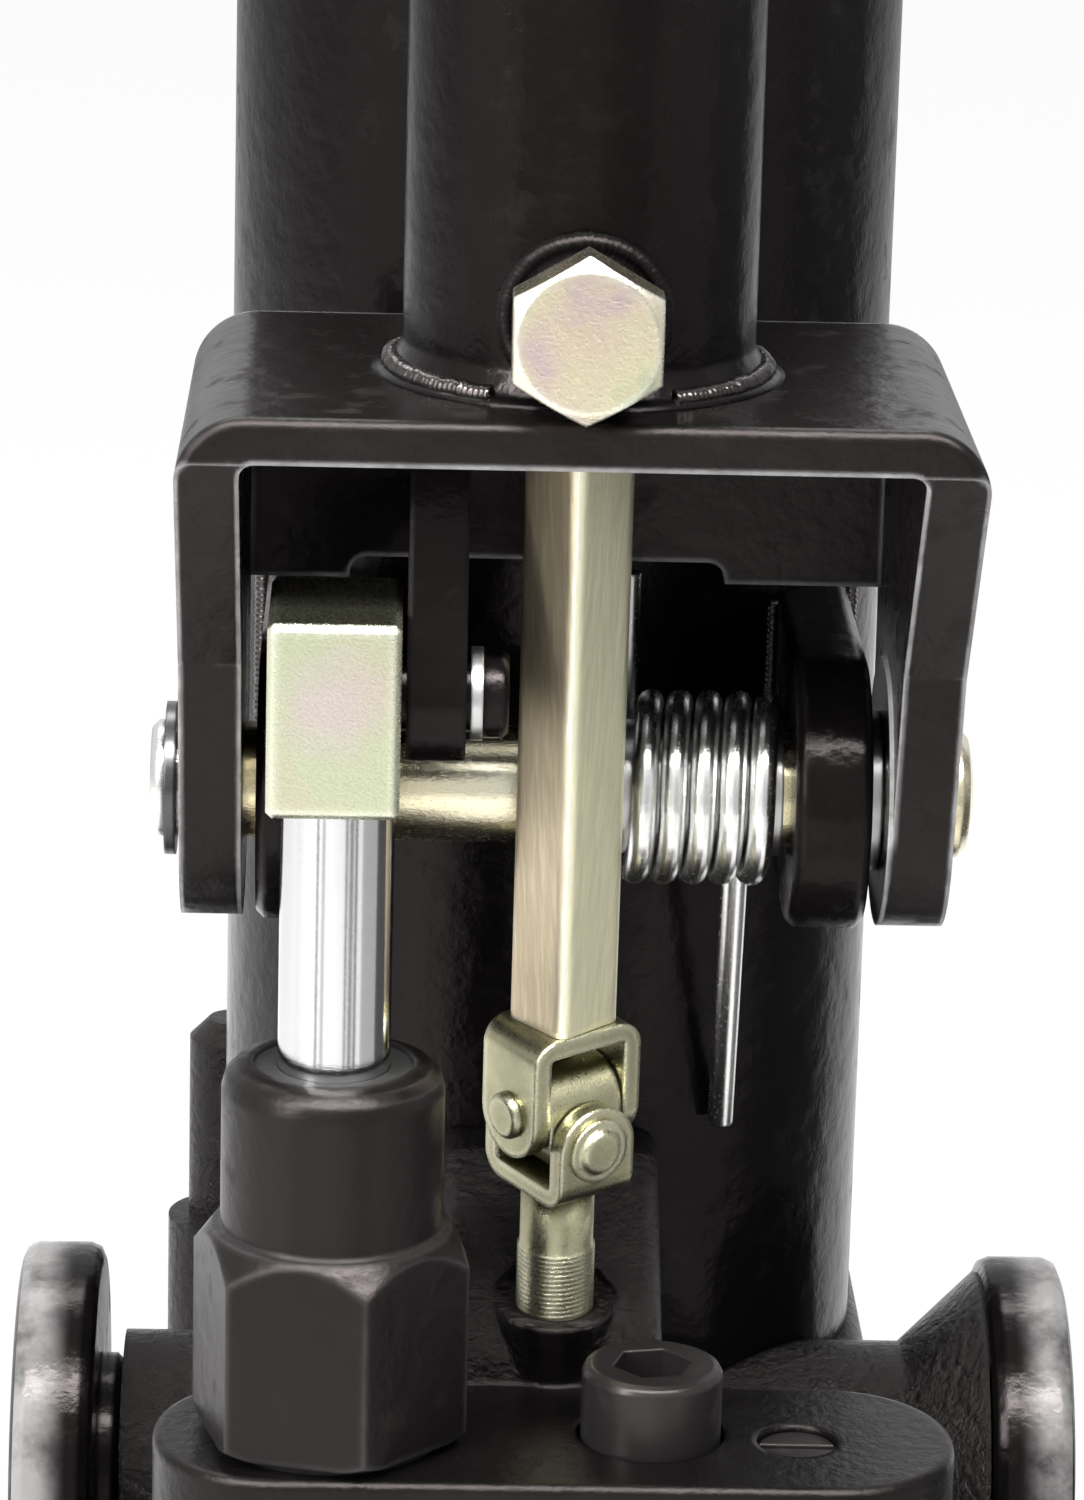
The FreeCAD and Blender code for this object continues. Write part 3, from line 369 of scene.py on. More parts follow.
def paint_tread_highlight(mat):
    """Paints a patchy pale grey highlight on the outer part of both wheels' treads, standing in for the
    sheen on the rims.
    """
    tree = mat.node_tree
    shader = next(n for n in tree.nodes if n.type == "BSDF_PRINCIPLED")
    painted = shader.inputs["Base Color"].links[0].from_socket
    coords = add(tree, "ShaderNodeTexCoord", (-1500, 700))
    split = add(tree, "ShaderNodeSeparateXYZ", (-1300, 700))
    wire(tree, coords, "Object", split, "Vector")
    out = math_node(tree, "ABSOLUTE", (split, "X"), 0.0, (-1100, 800))
    band = add(tree, "ShaderNodeMapRange", (-900, 800), interpolation_type="SMOOTHSTEP")
    wire(tree, out, 0, band, "Value")
    band.inputs["From Min"].default_value = TREAD_HIGHLIGHT_FROM
    band.inputs["From Max"].default_value = TREAD_HIGHLIGHT_FULL
    away = add(tree, "ShaderNodeVectorMath", (-1100, 550), operation="DISTANCE")
    flat = add(tree, "ShaderNodeCombineXYZ", (-1200, 450))
    wire(tree, split, "Y", flat, "Y")
    wire(tree, split, "Z", flat, "Z")
    wire(tree, flat, "Vector", away, 0)
    away.inputs[1].default_value = WHEEL_AXLE
    rim = math_node(tree, "GREATER_THAN", (away, "Value"), TREAD_RADIUS, (-900, 550))
    patch = use_group(tree, "Blotches", (-900, 350), Scale=70.0, Low=0.3, High=0.55)
    both = math_node(tree, "MULTIPLY", (band, "Result"), (rim, 0), (-700, 700))
    share = math_node(tree, "MULTIPLY", (both, 0), (patch, "Mask"), (-500, 700))
    part = math_node(tree, "MULTIPLY", (share, 0), 0.75, (-300, 700))
    mixed = add(tree, "ShaderNodeMix", (300, 700), data_type="RGBA")
    wire(tree, part, 0, mixed, 0)
    tree.links.new(painted, mixed.inputs[6])
    # Pale grey of the painted highlight on the treads
    mixed.inputs[7].default_value = (0.42, 0.41, 0.405, 1)
    wire(tree, mixed, 2, shader, "Base Color")


def cast_material(name, base, sizes, colours):
    """Painted rough casting: strong pits, softer on the machined block."""
    mat, tree, shader = new_material(name)
    pits = noise_node(tree, 1.0 / sizes.cast_size, 6.0, 0.62, at=(-700, -400), seed=2.0)
    lumps = noise_node(tree, 130.0, 3.0, 0.5, at=(-700, -650), seed=5.0)
    both = mix_colour(tree, 0.45, (pits, "Fac"), (lumps, "Fac"), (-450, -500))
    coords = add(tree, "ShaderNodeTexCoord", (-1100, 0))
    split = add(tree, "ShaderNodeSeparateXYZ", (-900, 0))
    wire(tree, coords, "Object", split, "Vector")
    nose = add(tree, "ShaderNodeMapRange", (-700, 0), clamp=True)
    wire(tree, split, "Y", nose, "Value")
    nose.inputs["From Min"].default_value = -0.0875
    nose.inputs["From Max"].default_value = -0.0855
    nose.inputs["To Min"].default_value = 0.14
    nose.inputs["To Max"].default_value = 1.0
    high = math_node(tree, "MULTIPLY", (both, 2), (nose, "Result"), (-250, -450))
    rounded_normal(tree, shader, (high, 0), 0.0026, 0.85, 0.0014)
    haze = use_group(tree, "Blotches", (-600, 250), Scale=60.0, Low=0.4, High=0.8)
    share = math_node(tree, "MULTIPLY", (haze, "Mask"), 0.06, (-350, 250))
    tinted = mix_colour(tree, (share, 0), base, tuple(colours.dust), (-100, 250))
    wire(tree, tinted, 2, shader, "Base Color")
    spot = math_node(tree, "MULTIPLY", (pits, "Fac"), 0.3, (-350, -200))
    final = math_node(tree, "ADD", (spot, 0), 0.08, (0, -200), clamp=True)
    wire(tree, final, 0, shader, "Roughness")
    shader.inputs["Specular IOR Level"].default_value = 0.18
    shader.inputs["Specular Tint"].default_value = WARM_GLOSS
    return mat


def zinc_material(name, stops, scale, rough, stretch=(1, 1, 1), edge=None, seed=0.0, heart=None,
                  silver_below=None):
    """Plated steel whose tint drifts through several colours.

    heart is (centre, radius, colour) of a patch of another tint. Left of
    silver_below, the steel is silvery."""
    mat, tree, shader = new_material(name)
    drift = noise_node(tree, scale, 3.0, 0.5, stretch, at=(-600, 250), seed=seed)
    tint = ramp(tree, stops, (-350, 250))
    wire(tree, drift, "Fac", tint, "Fac")
    result = (tint, "Color")
    if heart:
        centre, radius, tone = heart
        coords = add(tree, "ShaderNodeTexCoord", (-1100, 600))
        away = add(tree, "ShaderNodeVectorMath", (-900, 600), operation="DISTANCE")
        wire(tree, coords, "Object", away, 0)
        away.inputs[1].default_value = centre
        wobble = noise_node(tree, 260.0, 5.0, 0.65, at=(-900, 800), seed=seed + 5)
        bent = math_node(tree, "MULTIPLY_ADD", (wobble, "Fac"), radius * 1.5, (-700, 700))
        wire(tree, away, "Value", bent, 2)
        fade = add(tree, "ShaderNodeMapRange", (-500, 600), clamp=True)
        wire(tree, bent, 0, fade, "Value")
        fade.inputs["From Min"].default_value = radius * 1.0
        fade.inputs["From Max"].default_value = radius * 1.9
        fade.inputs["To Min"].default_value = 0.85
        fade.inputs["To Max"].default_value = 0.0
        hearted = mix_colour(tree, (fade, "Result"), result, tone, (-200, 400))
        result = (hearted, 2)
    # Pale edges: partly worn plating, partly a painted highlight along the edges
    if edge:
        mask = use_group(tree, "Edge wear and highlight", (-600, 0), Width=0.0022, Patchiness=0.3)
        mixed = mix_colour(tree, (mask, "Mask"), result, edge, (-50, 200))
        result = (mixed, 2)
    if silver_below is not None:
        place = add(tree, "ShaderNodeTexCoord", (-1100, 1000))
        split = add(tree, "ShaderNodeSeparateXYZ", (-900, 1000))
        wire(tree, place, "Object", split, "Vector")
        outer = math_node(tree, "LESS_THAN", (split, "X"), silver_below, (-700, 1000))
        capped = mix_colour(tree, (outer, 0), result, (0.72, 0.72, 0.70), (-100, 700))
        result = (capped, 2)
    tree.links.new(result[0].outputs[result[1]], shader.inputs["Base Color"])
    shader.inputs["Metallic"].default_value = 1.0
    grain = noise_node(tree, 2600.0, 2.0, 0.6, stretch, at=(-600, -250), seed=seed + 2)
    spread = math_node(tree, "MULTIPLY", (grain, "Fac"), 0.22, (-300, -150))
    final = math_node(tree, "ADD", (spread, 0), rough - 0.11, (-100, -150), clamp=True)
    wire(tree, final, 0, shader, "Roughness")
    rounded_normal(tree, shader, (grain, "Fac"), 0.0001, 0.35, 0.0009)
    return mat


def rod_material(colours):
    """Plated square bar with drawn lines along it. Its tint is set by which way a face looks: a painted
    light and shade that turns the left faces darker red and the right faces gold, over the plating's own
    colours; its edges carry a painted highlight.
    """
    mat, tree, shader = new_material("rod_zinc")
    coords = add(tree, "ShaderNodeTexCoord", (-1000, 200))
    split = add(tree, "ShaderNodeSeparateXYZ", (-800, 200))
    wire(tree, coords, "Normal", split, "Vector")
    # Which way the face looks: painted shade of darker red on the left faces, gold on the right faces
    side = math_node(tree, "MULTIPLY_ADD", (split, "X"), 0.62, (-600, 200))
    side.inputs[2].default_value = 0.5
    drift = noise_node(tree, 26.0, 3.0, 0.5, (1, 1, 0.6), at=(-600, -50), seed=3.0)
    shift = math_node(tree, "MULTIPLY_ADD", (drift, "Fac"), 0.34, (-350, 0))
    shift.inputs[2].default_value = -0.17
    streak = noise_node(tree, 1500.0, 4.0, 0.6, (1, 1, 0.02), at=(-600, 450), seed=11.0)
    streak_shift = math_node(tree, "MULTIPLY_ADD", (streak, "Fac"), 0.62, (-350, 450))
    streak_shift.inputs[2].default_value = -0.31
    both = math_node(tree, "ADD", (shift, 0), (streak_shift, 0), (-250, 250))
    total = math_node(tree, "ADD", (side, 0), (both, 0), (-150, 100))
    red = tuple(colours.rod_red)
    gold = tuple(colours.rod_gold)
    shaded_red = tuple(c * 0.7 for c in red)
    shaded_gold = tuple(c * 0.8 for c in gold)
    straw = (0.72, 0.65, 0.47)
    silver = (0.84, 0.82, 0.73)
    cream = (0.72, 0.70, 0.58)
    stops = [(0.0, shaded_red), (0.3, straw), (0.45, silver), (0.53, cream), (0.66, gold), (1.0, shaded_gold)]
    tint = ramp(tree, stops, (50, 150))
    wire(tree, total, 0, tint, "Fac")
    # Pale edges on the rod: a painted highlight
    edge_mask = use_group(tree, "Edge wear and highlight", (50, 450), Width=0.0016, Patchiness=0.5)
    lit = mix_colour(tree, (edge_mask, "Mask"), (tint, "Color"), (0.92, 0.91, 0.84), (350, 250))
    wire(tree, lit, 2, shader, "Base Color")
    shader.inputs["Metallic"].default_value = 0.8
    lines = noise_node(tree, 1500.0, 2.0, 0.6, (1, 1, 0.03), at=(-600, -300), seed=7.0)
    spread = math_node(tree, "MULTIPLY", (lines, "Fac"), 0.2, (-300, -250))
    final = math_node(tree, "ADD", (spread, 0), 0.27, (-100, -250), clamp=True)
    wire(tree, final, 0, shader, "Roughness")
    rounded_normal(tree, shader, (lines, "Fac"), 0.0001, 0.3, 0.0012)
    return mat


def metal_material(name, base, rough, scale=1800.0, stretch=(1, 1, 1), dark=0.12, width=0.0005):
    """Bare metal with turning or drawing marks and small dark spots."""
    mat, tree, shader = new_material(name)
    grain = noise_node(tree, scale, 3.0, 0.6, stretch, at=(-600, -200), seed=1.0)
    spots = use_group(tree, "Blotches", (-600, 200), Scale=90.0, Low=0.5, High=0.72)
    share = math_node(tree, "MULTIPLY", (spots, "Mask"), dark, (-350, 200))
    low = tuple(c * 0.35 for c in base)
    tint = mix_colour(tree, (share, 0), base, low, (-100, 200))
    wire(tree, tint, 2, shader, "Base Color")
    shader.inputs["Metallic"].default_value = 1.0
    spread = math_node(tree, "MULTIPLY", (grain, "Fac"), 0.14, (-300, -150))
    final = math_node(tree, "ADD", (spread, 0), rough - 0.07, (-100, -150), clamp=True)
    wire(tree, final, 0, shader, "Roughness")
    rounded_normal(tree, shader, (grain, "Fac"), 0.00005, 0.25, width)
    return mat


def rubber_material(colours):
    mat, tree, shader = new_material("seal_rubber")
    grain = noise_node(tree, 1200.0, 4.0, 0.6, at=(-600, 0), seed=6.0)
    dark = tuple(c * 0.8 for c in colours.rubber)
    pale = tuple(c * 1.6 for c in colours.rubber)
    tint = ramp(tree, [(0.3, dark), (0.8, pale)], (-300, 150))
    wire(tree, grain, "Fac", tint, "Fac")
    wire(tree, tint, "Color", shader, "Base Color")
    spread = math_node(tree, "MULTIPLY", (grain, "Fac"), 0.2, (-300, -100))
    final = math_node(tree, "ADD", (spread, 0), 0.45, (-100, -100), clamp=True)
    wire(tree, final, 0, shader, "Roughness")
    rounded_normal(tree, shader, (grain, "Fac"), 0.0001, 0.3, 0.0005)
    return mat


# Places on the CAD solids: middle of the bolt's and the head's front faces, left end of the pin
BOLT_FACE = (0, -0.1225, 0.2194)
HEAD_FACE = (-0.0312, -0.117, 0.1705)
PIN_OUTER_END = -0.0524

NODE_MATERIALS = {
    "cast_paint": ["base_casting"],
    "wheel_black": ["wheel_left", "wheel_right"],
    "gloss_black": ["tank_tube", "top_nut", "saddle", "lug_right", "lug_left",
                    "drive_arm", "handle_socket", "lock_nut", "drive_pin"],
    "yoke_black_lit": ["yoke", "yoke_web"],
    "pump_black_lit": ["pump_body"],
    "black_oxide": ["cap_screw", "slotted_plug"],
    "seal_rubber": ["tank_plug", "ram_wiper", "ram_seal", "pump_wiper"],
    "bright_steel": ["pressure_cylinder", "wheel_washers", "pin_washer", "drive_washer", "spring_sleeve",
                     "valve_ball", "inlet_ball", "relief_ball"],
    "spring_steel": ["torsion_spring"],
    "dark_steel": ["pin_ring", "wheel_clips"],
    "chrome": ["ram", "pump_plunger"],
    "bolt_zinc": ["lock_bolt"],
    "head_zinc": ["plunger_head"],
    "pin_zinc": ["main_pin"],
    "rod_zinc": ["release_rod"],
    "khaki_zinc": ["upper_fork", "upper_rivet", "joint_block", "lower_rivet", "lower_fork"],
}


class JACK_OT_materials(bpy.types.Operator):
    """Make the procedural materials and put them on the CAD nodes"""
    bl_idname = "jack.materials"
    bl_label = "Materials"

    def execute(self, context):
        sizes = context.scene.jack_sizes
        c = context.scene.jack_colours
        edge_group()
        grain_group()
        blotch_group()
        yellow = tuple(c.zinc_yellow)
        pink = tuple(c.zinc_pink)
        green = tuple(c.zinc_green)
        khaki = tuple(c.khaki)
        steel = tuple(c.steel)
        paint_material("gloss_black", tuple(c.paint), sizes, c, shine=0.15)
        cast_material("cast_paint", tuple(c.cast), sizes, c)
        # The wheels' treads get a painted highlight on their outer part
        paint_tread_highlight(paint_material("wheel_black", tuple(c.paint), sizes, c))
        # The yoke's paint is a lighter copy of the black paint, a painted light on the plate, with a
        # strong painted highlight along its edges
        paint_material("yoke_black_lit", tuple(v * 2.6 for v in c.paint), sizes, c, rough=0.27, spots=0.2,
                       width=0.0014, shine=0.18, edge_highlight=0.85)
        paint_material("weld_black", tuple(c.paint), sizes, c, rough=0.13, ripple=0.5, spots=0.05,
                       width=0.0005, shine=0.75)
        # The pump's paint is a lighter copy of the black paint, a painted light, with a painted highlight
        # along its edges
        paint_material("pump_black_lit", tuple(v * 2.2 for v in c.paint), sizes, c, rough=0.33, shine=0.22,
                       width=0.0016, edge_highlight=0.2)
        paint_material("black_oxide", (0.017, 0.0155, 0.0155), sizes, c, rough=0.3, ripple=0.1, spots=0.2,
                       width=0.0006, shine=0.3)
        sand = (0.72, 0.62, 0.48)
        straw = (0.72, 0.68, 0.46)
        zinc_material("bolt_zinc", [(0.25, pink), (0.42, sand), (0.58, straw), (0.75, green)],
                      110.0, 0.24, edge=(0.9, 0.92, 0.84), seed=1.0,
                      heart=(BOLT_FACE, 0.0052, (0.72, 0.62, 0.46)))
        olive = (0.48, 0.50, 0.35)
        tan = (0.52, 0.46, 0.39)
        zinc_material("head_zinc", [(0.25, green), (0.46, olive), (0.6, yellow), (0.8, tan)],
                      95.0, 0.27, edge=(0.84, 0.87, 0.72), seed=4.0,
                      heart=(HEAD_FACE, 0.0074, (0.54, 0.465, 0.45)))
        cream = (0.76, 0.74, 0.62)
        amber = (0.74, 0.66, 0.42)
        brown = (0.62, 0.50, 0.28)
        zinc_material("pin_zinc", [(0.3, cream), (0.55, amber), (0.8, brown)],
                      60.0, 0.24, stretch=(0.4, 1, 1), seed=2.0, silver_below=PIN_OUTER_END)
        dark_khaki = tuple(v * 0.7 for v in khaki)
        pale_khaki = (0.47, 0.45, 0.30)
        green_khaki = (0.33, 0.345, 0.23)
        khakis = [(0.25, dark_khaki), (0.5, khaki), (0.7, pale_khaki), (0.85, green_khaki)]
        zinc_material("khaki_zinc", khakis, 90.0, 0.30, edge=(0.60, 0.58, 0.43), seed=9.0)
        rod_material(c)
        metal_material("bright_steel", tuple(v * 0.85 for v in steel), 0.32)
        metal_material("spring_steel", tuple(v * 1.35 for v in steel), 0.25, dark=0.08)
        metal_material("dark_steel", (0.10, 0.10, 0.10), 0.3, dark=0.3)
        metal_material("chrome", tuple(c.chrome), 0.12, scale=900.0, stretch=(1, 1, 5), dark=0.08)
        rubber_material(c)
        for name, members in NODE_MATERIALS.items():
            for member in members:
                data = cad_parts[member].data
                data.materials.clear()
                data.materials.append(look(name))
        return {"FINISHED"}


# Release line, as in the CAD source
LINE_POINT = Vector((0.3, -83.8, 104.3)) * MM
LINE_DIR = Vector((0, -math.sin(math.radians(6.26)), math.cos(math.radians(6.26))))


class JACK_OT_threads(bpy.types.Operator):
    """Make the threaded stem and the threaded extension screw"""
    bl_idname = "jack.threads"
    bl_label = "Threads"

    def execute(self, context):
        sizes = context.scene.jack_sizes
        r = sizes.stem_radius
        top = 0.0491
        neck = top - sizes.stem_neck
        neck_radius = r - 0.0003
        tip_radius = 0.0012
        cone_radius = 0.0032
        cone_height = 0.004
        thread_from = 0.026
        below_joint = 0.060
        profile = [(0, tip_radius), (cone_height, cone_radius), (cone_height, r), (neck - 0.0004, r),
                   (neck, neck_radius), (top, neck_radius)]
        start = LINE_POINT - LINE_DIR * below_joint
        verts, faces = threaded_bar(profile, start, LINE_DIR, (thread_from, neck),
                                    sizes.stem_pitch, 0.00028)
        stem = new_piece("stem_thread", verts, faces, "valve", look("khaki_zinc"))
        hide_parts("valve_stem")
        low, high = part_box("extension_screw")
        r = sizes.screw_radius
        length = high.z - low.z
        chamfer = 0.001
        thread_end = length - 0.0085
        plain_from = length - 0.0065
        plain_radius = r - 0.002
        profile = [(0, r - chamfer), (chamfer, r), (thread_end, r), (plain_from, plain_radius),
                   (length, plain_radius)]
        verts, faces = threaded_bar(profile, Vector((0, 0, low.z)), (0, 0, 1), (0.002, thread_end),
                                    sizes.screw_pitch, 0.0014, 48)
        steel = look("bright_steel")
        screw = new_piece("screw_thread", verts, faces, "lift_screw", steel)
        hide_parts("extension_screw")
        return {"FINISHED"}


def bead_tree():
    """Geometry Nodes: one flat ripple repeated along a curve, each slightly different."""
    tree = bpy.data.node_groups.new("Weld ripples", "GeometryNodeTree")
    group_socket(tree, "Geometry", "NodeSocketGeometry")
    group_socket(tree, "Step", "NodeSocketFloat", default=0.0013)
    group_socket(tree, "Width", "NodeSocketFloat", default=0.004)
    group_socket(tree, "Seed", "NodeSocketInt", default=3)
    group_socket(tree, "Material", "NodeSocketMaterial")
    group_socket(tree, "Geometry", "NodeSocketGeometry", out=True)
    inside = add(tree, "NodeGroupInput", (-900, 0))
    outside = add(tree, "NodeGroupOutput", (900, 0))
    curve = add(tree, "GeometryNodeMeshToCurve", (-700, 100))
    wire(tree, inside, "Geometry", curve, "Mesh")
    points = add(tree, "GeometryNodeCurveToPoints", (-500, 100), mode="LENGTH")
    wire(tree, curve, "Curve", points, "Curve")
    wire(tree, inside, "Step", points, "Length")
    ball = add(tree, "GeometryNodeMeshUVSphere", (-500, -150))
    ball.inputs["Segments"].default_value = 14
    ball.inputs["Rings"].default_value = 8
    half = add(tree, "ShaderNodeMath", (-700, -150), operation="MULTIPLY")
    half.inputs[1].default_value = 0.5
    wire(tree, inside, "Width", half, 0)
    wire(tree, half, 0, ball, "Radius")
    smooth = add(tree, "GeometryNodeSetShadeSmooth", (-300, -150))
    wire(tree, ball, "Mesh", smooth, "Geometry")
    vary = add(tree, "FunctionNodeRandomValue", (-300, -350), data_type="FLOAT_VECTOR")
    vary.inputs[0].default_value = (0.95, 0.93, 0.50)
    vary.inputs[1].default_value = (1.05, 1.06, 0.58)
    wire(tree, inside, "Seed", vary, "Seed")
    place = add(tree, "GeometryNodeInstanceOnPoints", (0, 0))
    wire(tree, points, "Points", place, "Points")
    wire(tree, smooth, "Geometry", place, "Instance")
    wire(tree, points, "Rotation", place, "Rotation")
    tree.links.new(vary.outputs[0], place.inputs["Scale"])
    real = add(tree, "GeometryNodeRealizeInstances", (300, 0))
    wire(tree, place, "Instances", real, "Geometry")
    paint = add(tree, "GeometryNodeSetMaterial", (600, 0))
    wire(tree, real, "Geometry", paint, "Geometry")
    wire(tree, inside, "Material", paint, "Material")
    wire(tree, paint, "Geometry", outside, "Geometry")
    return tree


def weld_bead(name, points, body, material, sizes, seed):
    """A rippled weld along the points, made by the node tree and kept as a plain mesh."""
    mesh = bpy.data.meshes.new(name + "_line")
    mesh.from_pydata([tuple(p) for p in points], [(i, i + 1) for i in range(len(points) - 1)], [])
    obj = bpy.data.objects.new(name + "_line", mesh)
    bpy.context.scene.collection.objects.link(obj)
    mod = obj.modifiers.new("Ripples", "NODES")
    tree = bpy.data.node_groups["Weld ripples"]
    mod.node_group = tree
    values = {"Step": sizes.bead_step, "Width": sizes.bead_width, "Seed": seed, "Material": material}
    for item in tree.interface.items_tree:
        if item.item_type == "SOCKET" and item.in_out == "INPUT" and item.name in values:
            mod[item.identifier] = values[item.name]
    bpy.context.view_layer.update()
    graph = bpy.context.evaluated_depsgraph_get()
    made = bpy.data.meshes.new_from_object(obj.evaluated_get(graph), depsgraph=graph)
    bpy.data.objects.remove(obj)
    made.name = name
    made.materials.clear()
    made.materials.append(material)
    for poly in made.polygons:
        poly.material_index = 0
        poly.use_smooth = True
    piece = bpy.data.objects.new(name, made)
    bpy.context.scene.collection.objects.link(piece)
    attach(piece, body)
    return piece


class JACK_OT_welds(bpy.types.Operator):
    """Lay the rippled weld beads at the socket, the lock nut and the lugs"""
    bl_idname = "jack.welds"
    bl_label = "Weld beads"

    def execute(self, context):
        sizes = context.scene.jack_sizes
        black = look("weld_black")
        bead_tree()
        rnd = random.Random(11)
        socket_y = -0.084
        bead_height = 0.208
        centre = Vector((0, socket_y, bead_height))
        ring = []
        for k in range(97):
            a = math.radians(-61 + 302 * k / 96)
            r = 0.0246 + rnd.uniform(-0.0001, 0.0001)
            lift = 0.0008 + rnd.uniform(-0.0001, 0.0002)
            ring.append(centre + Vector((r * math.cos(a), r * math.sin(a), lift)))
        weld_bead("weld_socket", ring, "yoke", black, sizes, 3)
        arc = []
        nut_radius = 0.0101
        socket_radius = 0.0233
        for k in range(49):
            a = math.radians(-35 + 250 * k / 48)
            x = nut_radius * math.cos(a)
            y = socket_y - math.sqrt(socket_radius ** 2 - x * x) - 0.0004
            arc.append(Vector((x, y, BOLT_FACE[2] + nut_radius * math.sin(a))))
        weld_bead("weld_nut", arc, "yoke", look("gloss_black"), sizes, 8)
        for name, x, side in (("weld_lug_a", 0.0307, -1), ("weld_lug_b", 0.041, 1),
                              ("weld_lug_c", -0.030, 1), ("weld_lug_d", -0.0418, -1)):
            line = []
            y = -math.sqrt(TANK_RADIUS ** 2 - x ** 2)
            for k in range(15):
                z = 0.1295 + 0.035 * k / 14
                line.append(Vector((x + side * 0.0006, y - 0.0004, z + rnd.uniform(-0.0002, 0.0002))))
            weld_bead(name, line, "base", black, sizes, 5 + len(name))
        return {"FINISHED"}


CAMERA_PLACE = Vector((-23.4, -815.2, 364.8)) * MM
FOCAL = 5656.5
IMAGE = (1084, 1500)


def camera_axes():
    """Right, up and back of a camera that looks down by p, turned by a and tilted by r."""
    p = math.radians(15.96)
    a = math.radians(1.56)
    r = math.radians(1.49)
    ahead = Vector((math.sin(a) * math.cos(p), math.cos(a) * math.cos(p), -math.sin(p)))
    right = Vector((math.cos(a), -math.sin(a), 0))
    up = right.cross(ahead)
    x = right * math.cos(r) + up * math.sin(r)
    y = up * math.cos(r) - right * math.sin(r)
    return x, y, -ahead


def area_light(name, at, target, size, power, shape):
    data = bpy.data.lights.new(name, "AREA")
    data.shape = "RECTANGLE"
    data.size = size * shape[0]
    data.size_y = size * shape[1]
    data.energy = power
    obj = bpy.data.objects.new(name, data)
    obj.location = at
    obj.rotation_euler = (Vector(target) - Vector(at)).to_track_quat("-Z", "Y").to_euler()
    bpy.context.scene.collection.objects.link(obj)
    return obj


def dark_card(name, azimuth, width, tone):
    """Grey card on the floor and upright behind it, so polished metal shows a band."""
    verts = []
    for r, z in ((0.17, 0.001), (0.62, 0.001), (0.62, 0.8)):
        for a in (azimuth - width / 2, azimuth + width / 2):
            a = math.radians(a)
            verts.append((-0.03 + r * math.sin(a), -0.1 - r * math.cos(a), z))
    mesh = bpy.data.meshes.new(name)
    mesh.from_pydata(verts, [], [(0, 1, 3, 2), (2, 3, 5, 4)])
    mat, _, shader = new_material(name)
    shader.inputs["Base Color"].default_value = (tone, tone, tone, 1)
    mesh.materials.append(mat)
    obj = bpy.data.objects.new(name, mesh)
    bpy.context.scene.collection.objects.link(obj)
    obj.visible_camera = False
    obj.visible_diffuse = False
    obj.visible_shadow = False


def backdrop_material():
    """Almost white to the camera and plainly lit otherwise, so a faint shadow stays."""
    mat, tree, shader = new_material("studio_white")
    shader.inputs["Base Color"].default_value = (0.86, 0.86, 0.86, 1)
    shader.inputs["Roughness"].default_value = 0.9
    glow = add(tree, "ShaderNodeEmission", (600, -300))
    glow.inputs["Color"].default_value = (1, 1, 1, 1)
    glow.inputs["Strength"].default_value = 1.0
    path = add(tree, "ShaderNodeLightPath", (0, 300))
    seen = math_node(tree, "MULTIPLY", (path, "Is Camera Ray"), 0.93, (300, 300))
    mix = add(tree, "ShaderNodeMixShader", (900, 0))
    wire(tree, seen, 0, mix, 0)
    tree.links.new(shader.outputs[0], mix.inputs[1])
    tree.links.new(glow.outputs[0], mix.inputs[2])
    out = next(n for n in tree.nodes if n.type == "OUTPUT_MATERIAL")
    tree.links.new(mix.outputs[0], out.inputs["Surface"])
    return mat


def studio_world():
    world = bpy.data.worlds.new("Studio")
    bpy.context.scene.world = world
    world.use_nodes = True
    tree = world.node_tree
    back = next(n for n in tree.nodes if n.type == "BACKGROUND")
    path = add(tree, "ShaderNodeLightPath", (-900, 0))
    shown = math_node(tree, "ADD", (path, "Is Camera Ray"), (path, "Is Transmission Ray"), (-700, 100),
                      clamp=True)
    gloss = math_node(tree, "MULTIPLY", (path, "Is Glossy Ray"), 0.8, (-700, -100))
    total = math_node(tree, "MAXIMUM", (shown, 0), (gloss, 0), (-500, 0))
    level = add(tree, "ShaderNodeMapRange", (-300, 0), clamp=True)
    wire(tree, total, 0, level, "Value")
    level.inputs["To Min"].default_value = 0.45
    level.inputs["To Max"].default_value = 1.0
    wire(tree, level, "Result", back, "Strength")
    back.inputs["Color"].default_value = (1, 1, 1, 1)


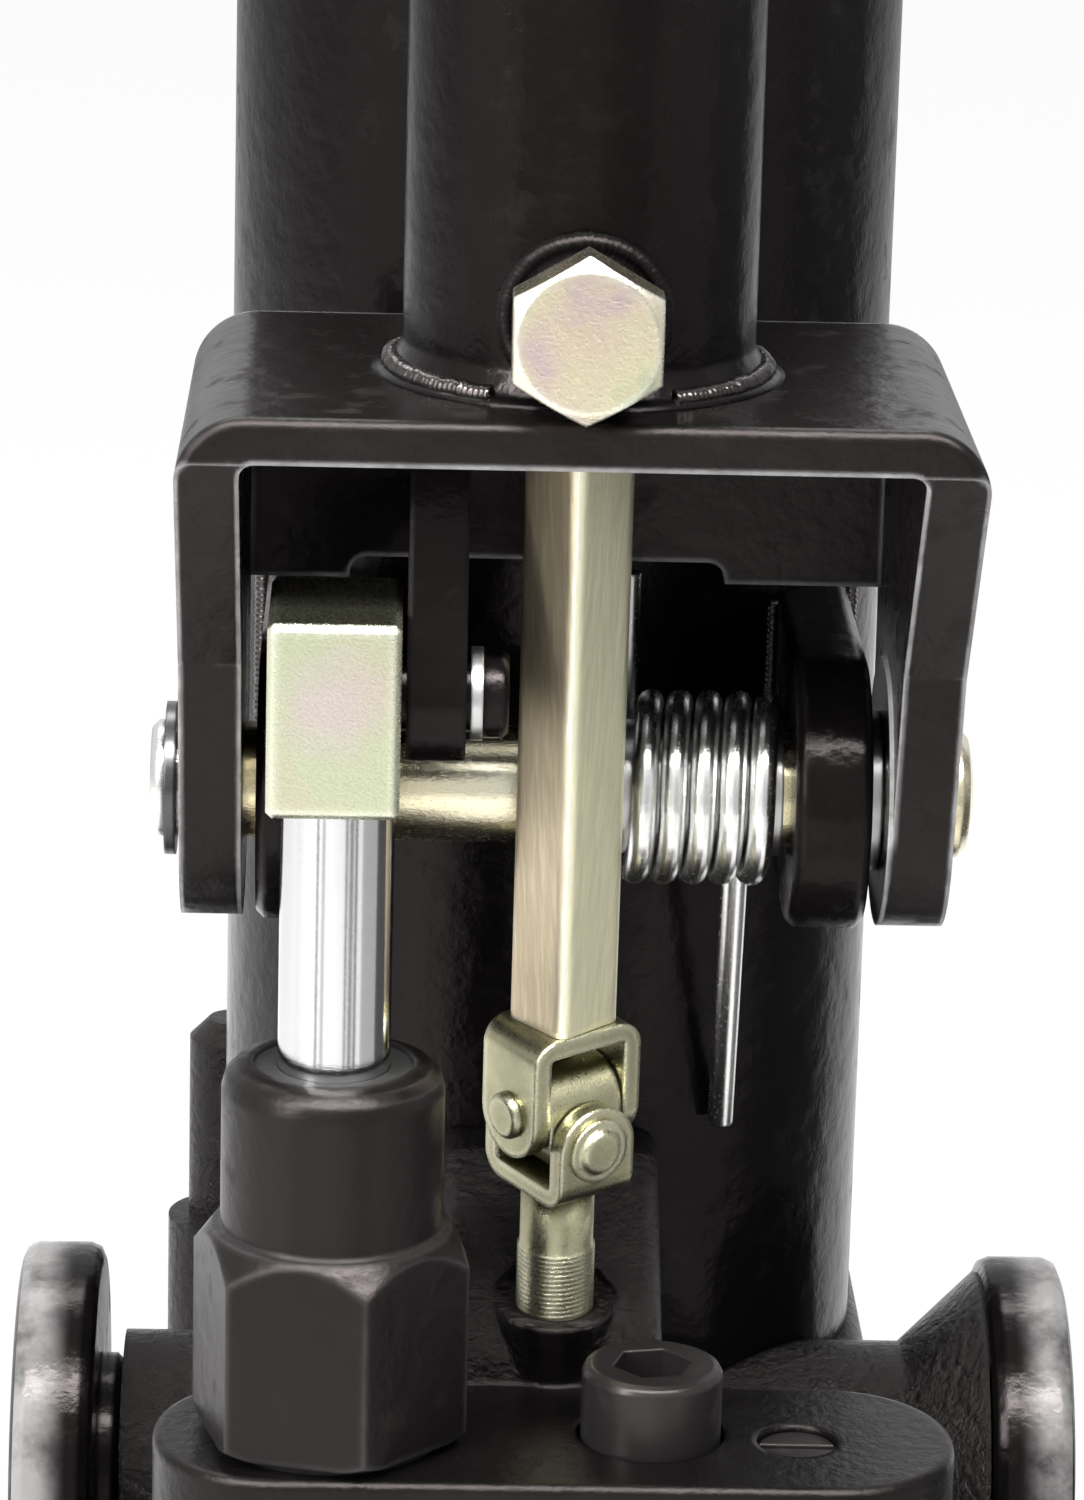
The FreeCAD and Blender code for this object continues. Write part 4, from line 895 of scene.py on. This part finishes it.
class JACK_OT_stage(bpy.types.Operator):
    """Make the floor, the lights, the world and the camera"""
    bl_idname = "jack.stage"
    bl_label = "Stage"

    def execute(self, context):
        scene = context.scene
        white = backdrop_material()
        mesh = bpy.data.meshes.new("floor")
        s = 4.0
        mesh.from_pydata([(-s, -s, 0), (s, -s, 0), (s, s, 0), (-s, s, 0)], [], [(0, 1, 2, 3)])
        mesh.materials.append(white)
        floor = bpy.data.objects.new("floor", mesh)
        scene.collection.objects.link(floor)
        area_light("key_left", (-0.75, -0.75, 0.62), (0, -0.05, 0.16), 0.07, 12.0, (1.6, 10.0))
        area_light("edge_right", (0.95, 0.10, 0.42), (0, -0.02, 0.17), 0.06, 1.5, (1.0, 11.0))
        area_light("top_front", (0.05, -0.55, 1.05), (0, -0.08, 0.17), 1.1, 10.0, (1.0, 0.05))
        area_light("top_back", (-0.1, 0.45, 1.0), (0, -0.05, 0.15), 0.8, 6.0, (1.0, 0.2))
        glint = area_light("glint", (0.0, -0.62, 1.0), (0, -0.1, 0.2), 1.3, 42.0, (1.0, 0.18))
        glint.visible_diffuse = False
        dark_card("card_a", azimuth=-70, width=36, tone=0.8)
        dark_card("card_b", azimuth=-38, width=5, tone=0.03)
        dark_card("card_c", azimuth=-26, width=7, tone=0.4)
        dark_card("card_d", azimuth=20, width=4, tone=0.03)
        dark_card("card_e", azimuth=30, width=8, tone=0.2)
        dark_card("card_f", azimuth=40, width=5, tone=0.03)
        dark_card("card_g", azimuth=70, width=34, tone=0.4)
        dark_card("card_h", azimuth=108, width=40, tone=0.04)
        studio_world()
        data = bpy.data.cameras.new("photo_camera")
        data.sensor_fit = "VERTICAL"
        data.sensor_height = 36.0
        data.lens = 36.0 * FOCAL / IMAGE[1]
        data.clip_start = 0.05
        data.clip_end = 50.0
        cam = bpy.data.objects.new("photo_camera", data)
        x, y, z = camera_axes()
        cam.matrix_world = Matrix(((x.x, y.x, z.x, CAMERA_PLACE.x), (x.y, y.y, z.y, CAMERA_PLACE.y),
                                   (x.z, y.z, z.z, CAMERA_PLACE.z), (0, 0, 0, 1)))
        scene.collection.objects.link(cam)
        scene.camera = cam
        scene.view_settings.view_transform = "Standard"
        return {"FINISHED"}


class JACK_PT_panel(bpy.types.Panel):
    bl_idname = "JACK_PT_panel"
    bl_label = "Jack"
    bl_space_type = "VIEW_3D"
    bl_region_type = "UI"
    bl_category = "Jack"

    def draw(self, context):
        layout = self.layout
        for group in (context.scene.jack_sizes, context.scene.jack_colours):
            column = layout.column()
            for key in group.__annotations__:
                column.prop(group, key)
        for op in OPERATORS:
            layout.operator(op.bl_idname)


OPERATORS = (JACK_OT_stage, JACK_OT_materials, JACK_OT_threads, JACK_OT_welds)
CLASSES = (JackSizes, JackColours) + OPERATORS + (JACK_PT_panel,)


def register():
    for cls in CLASSES:
        bpy.utils.register_class(cls)
    bpy.types.Scene.jack_sizes = bpy.props.PointerProperty(type=JackSizes)
    bpy.types.Scene.jack_colours = bpy.props.PointerProperty(type=JackColours)


def unregister():
    del bpy.types.Scene.jack_colours
    del bpy.types.Scene.jack_sizes
    for cls in reversed(CLASSES):
        bpy.utils.unregister_class(cls)


def main():
    register()
    bpy.ops.jack.stage()
    bpy.ops.jack.materials()
    bpy.ops.jack.threads()
    bpy.ops.jack.welds()


if __name__ == "__main__":
    main()
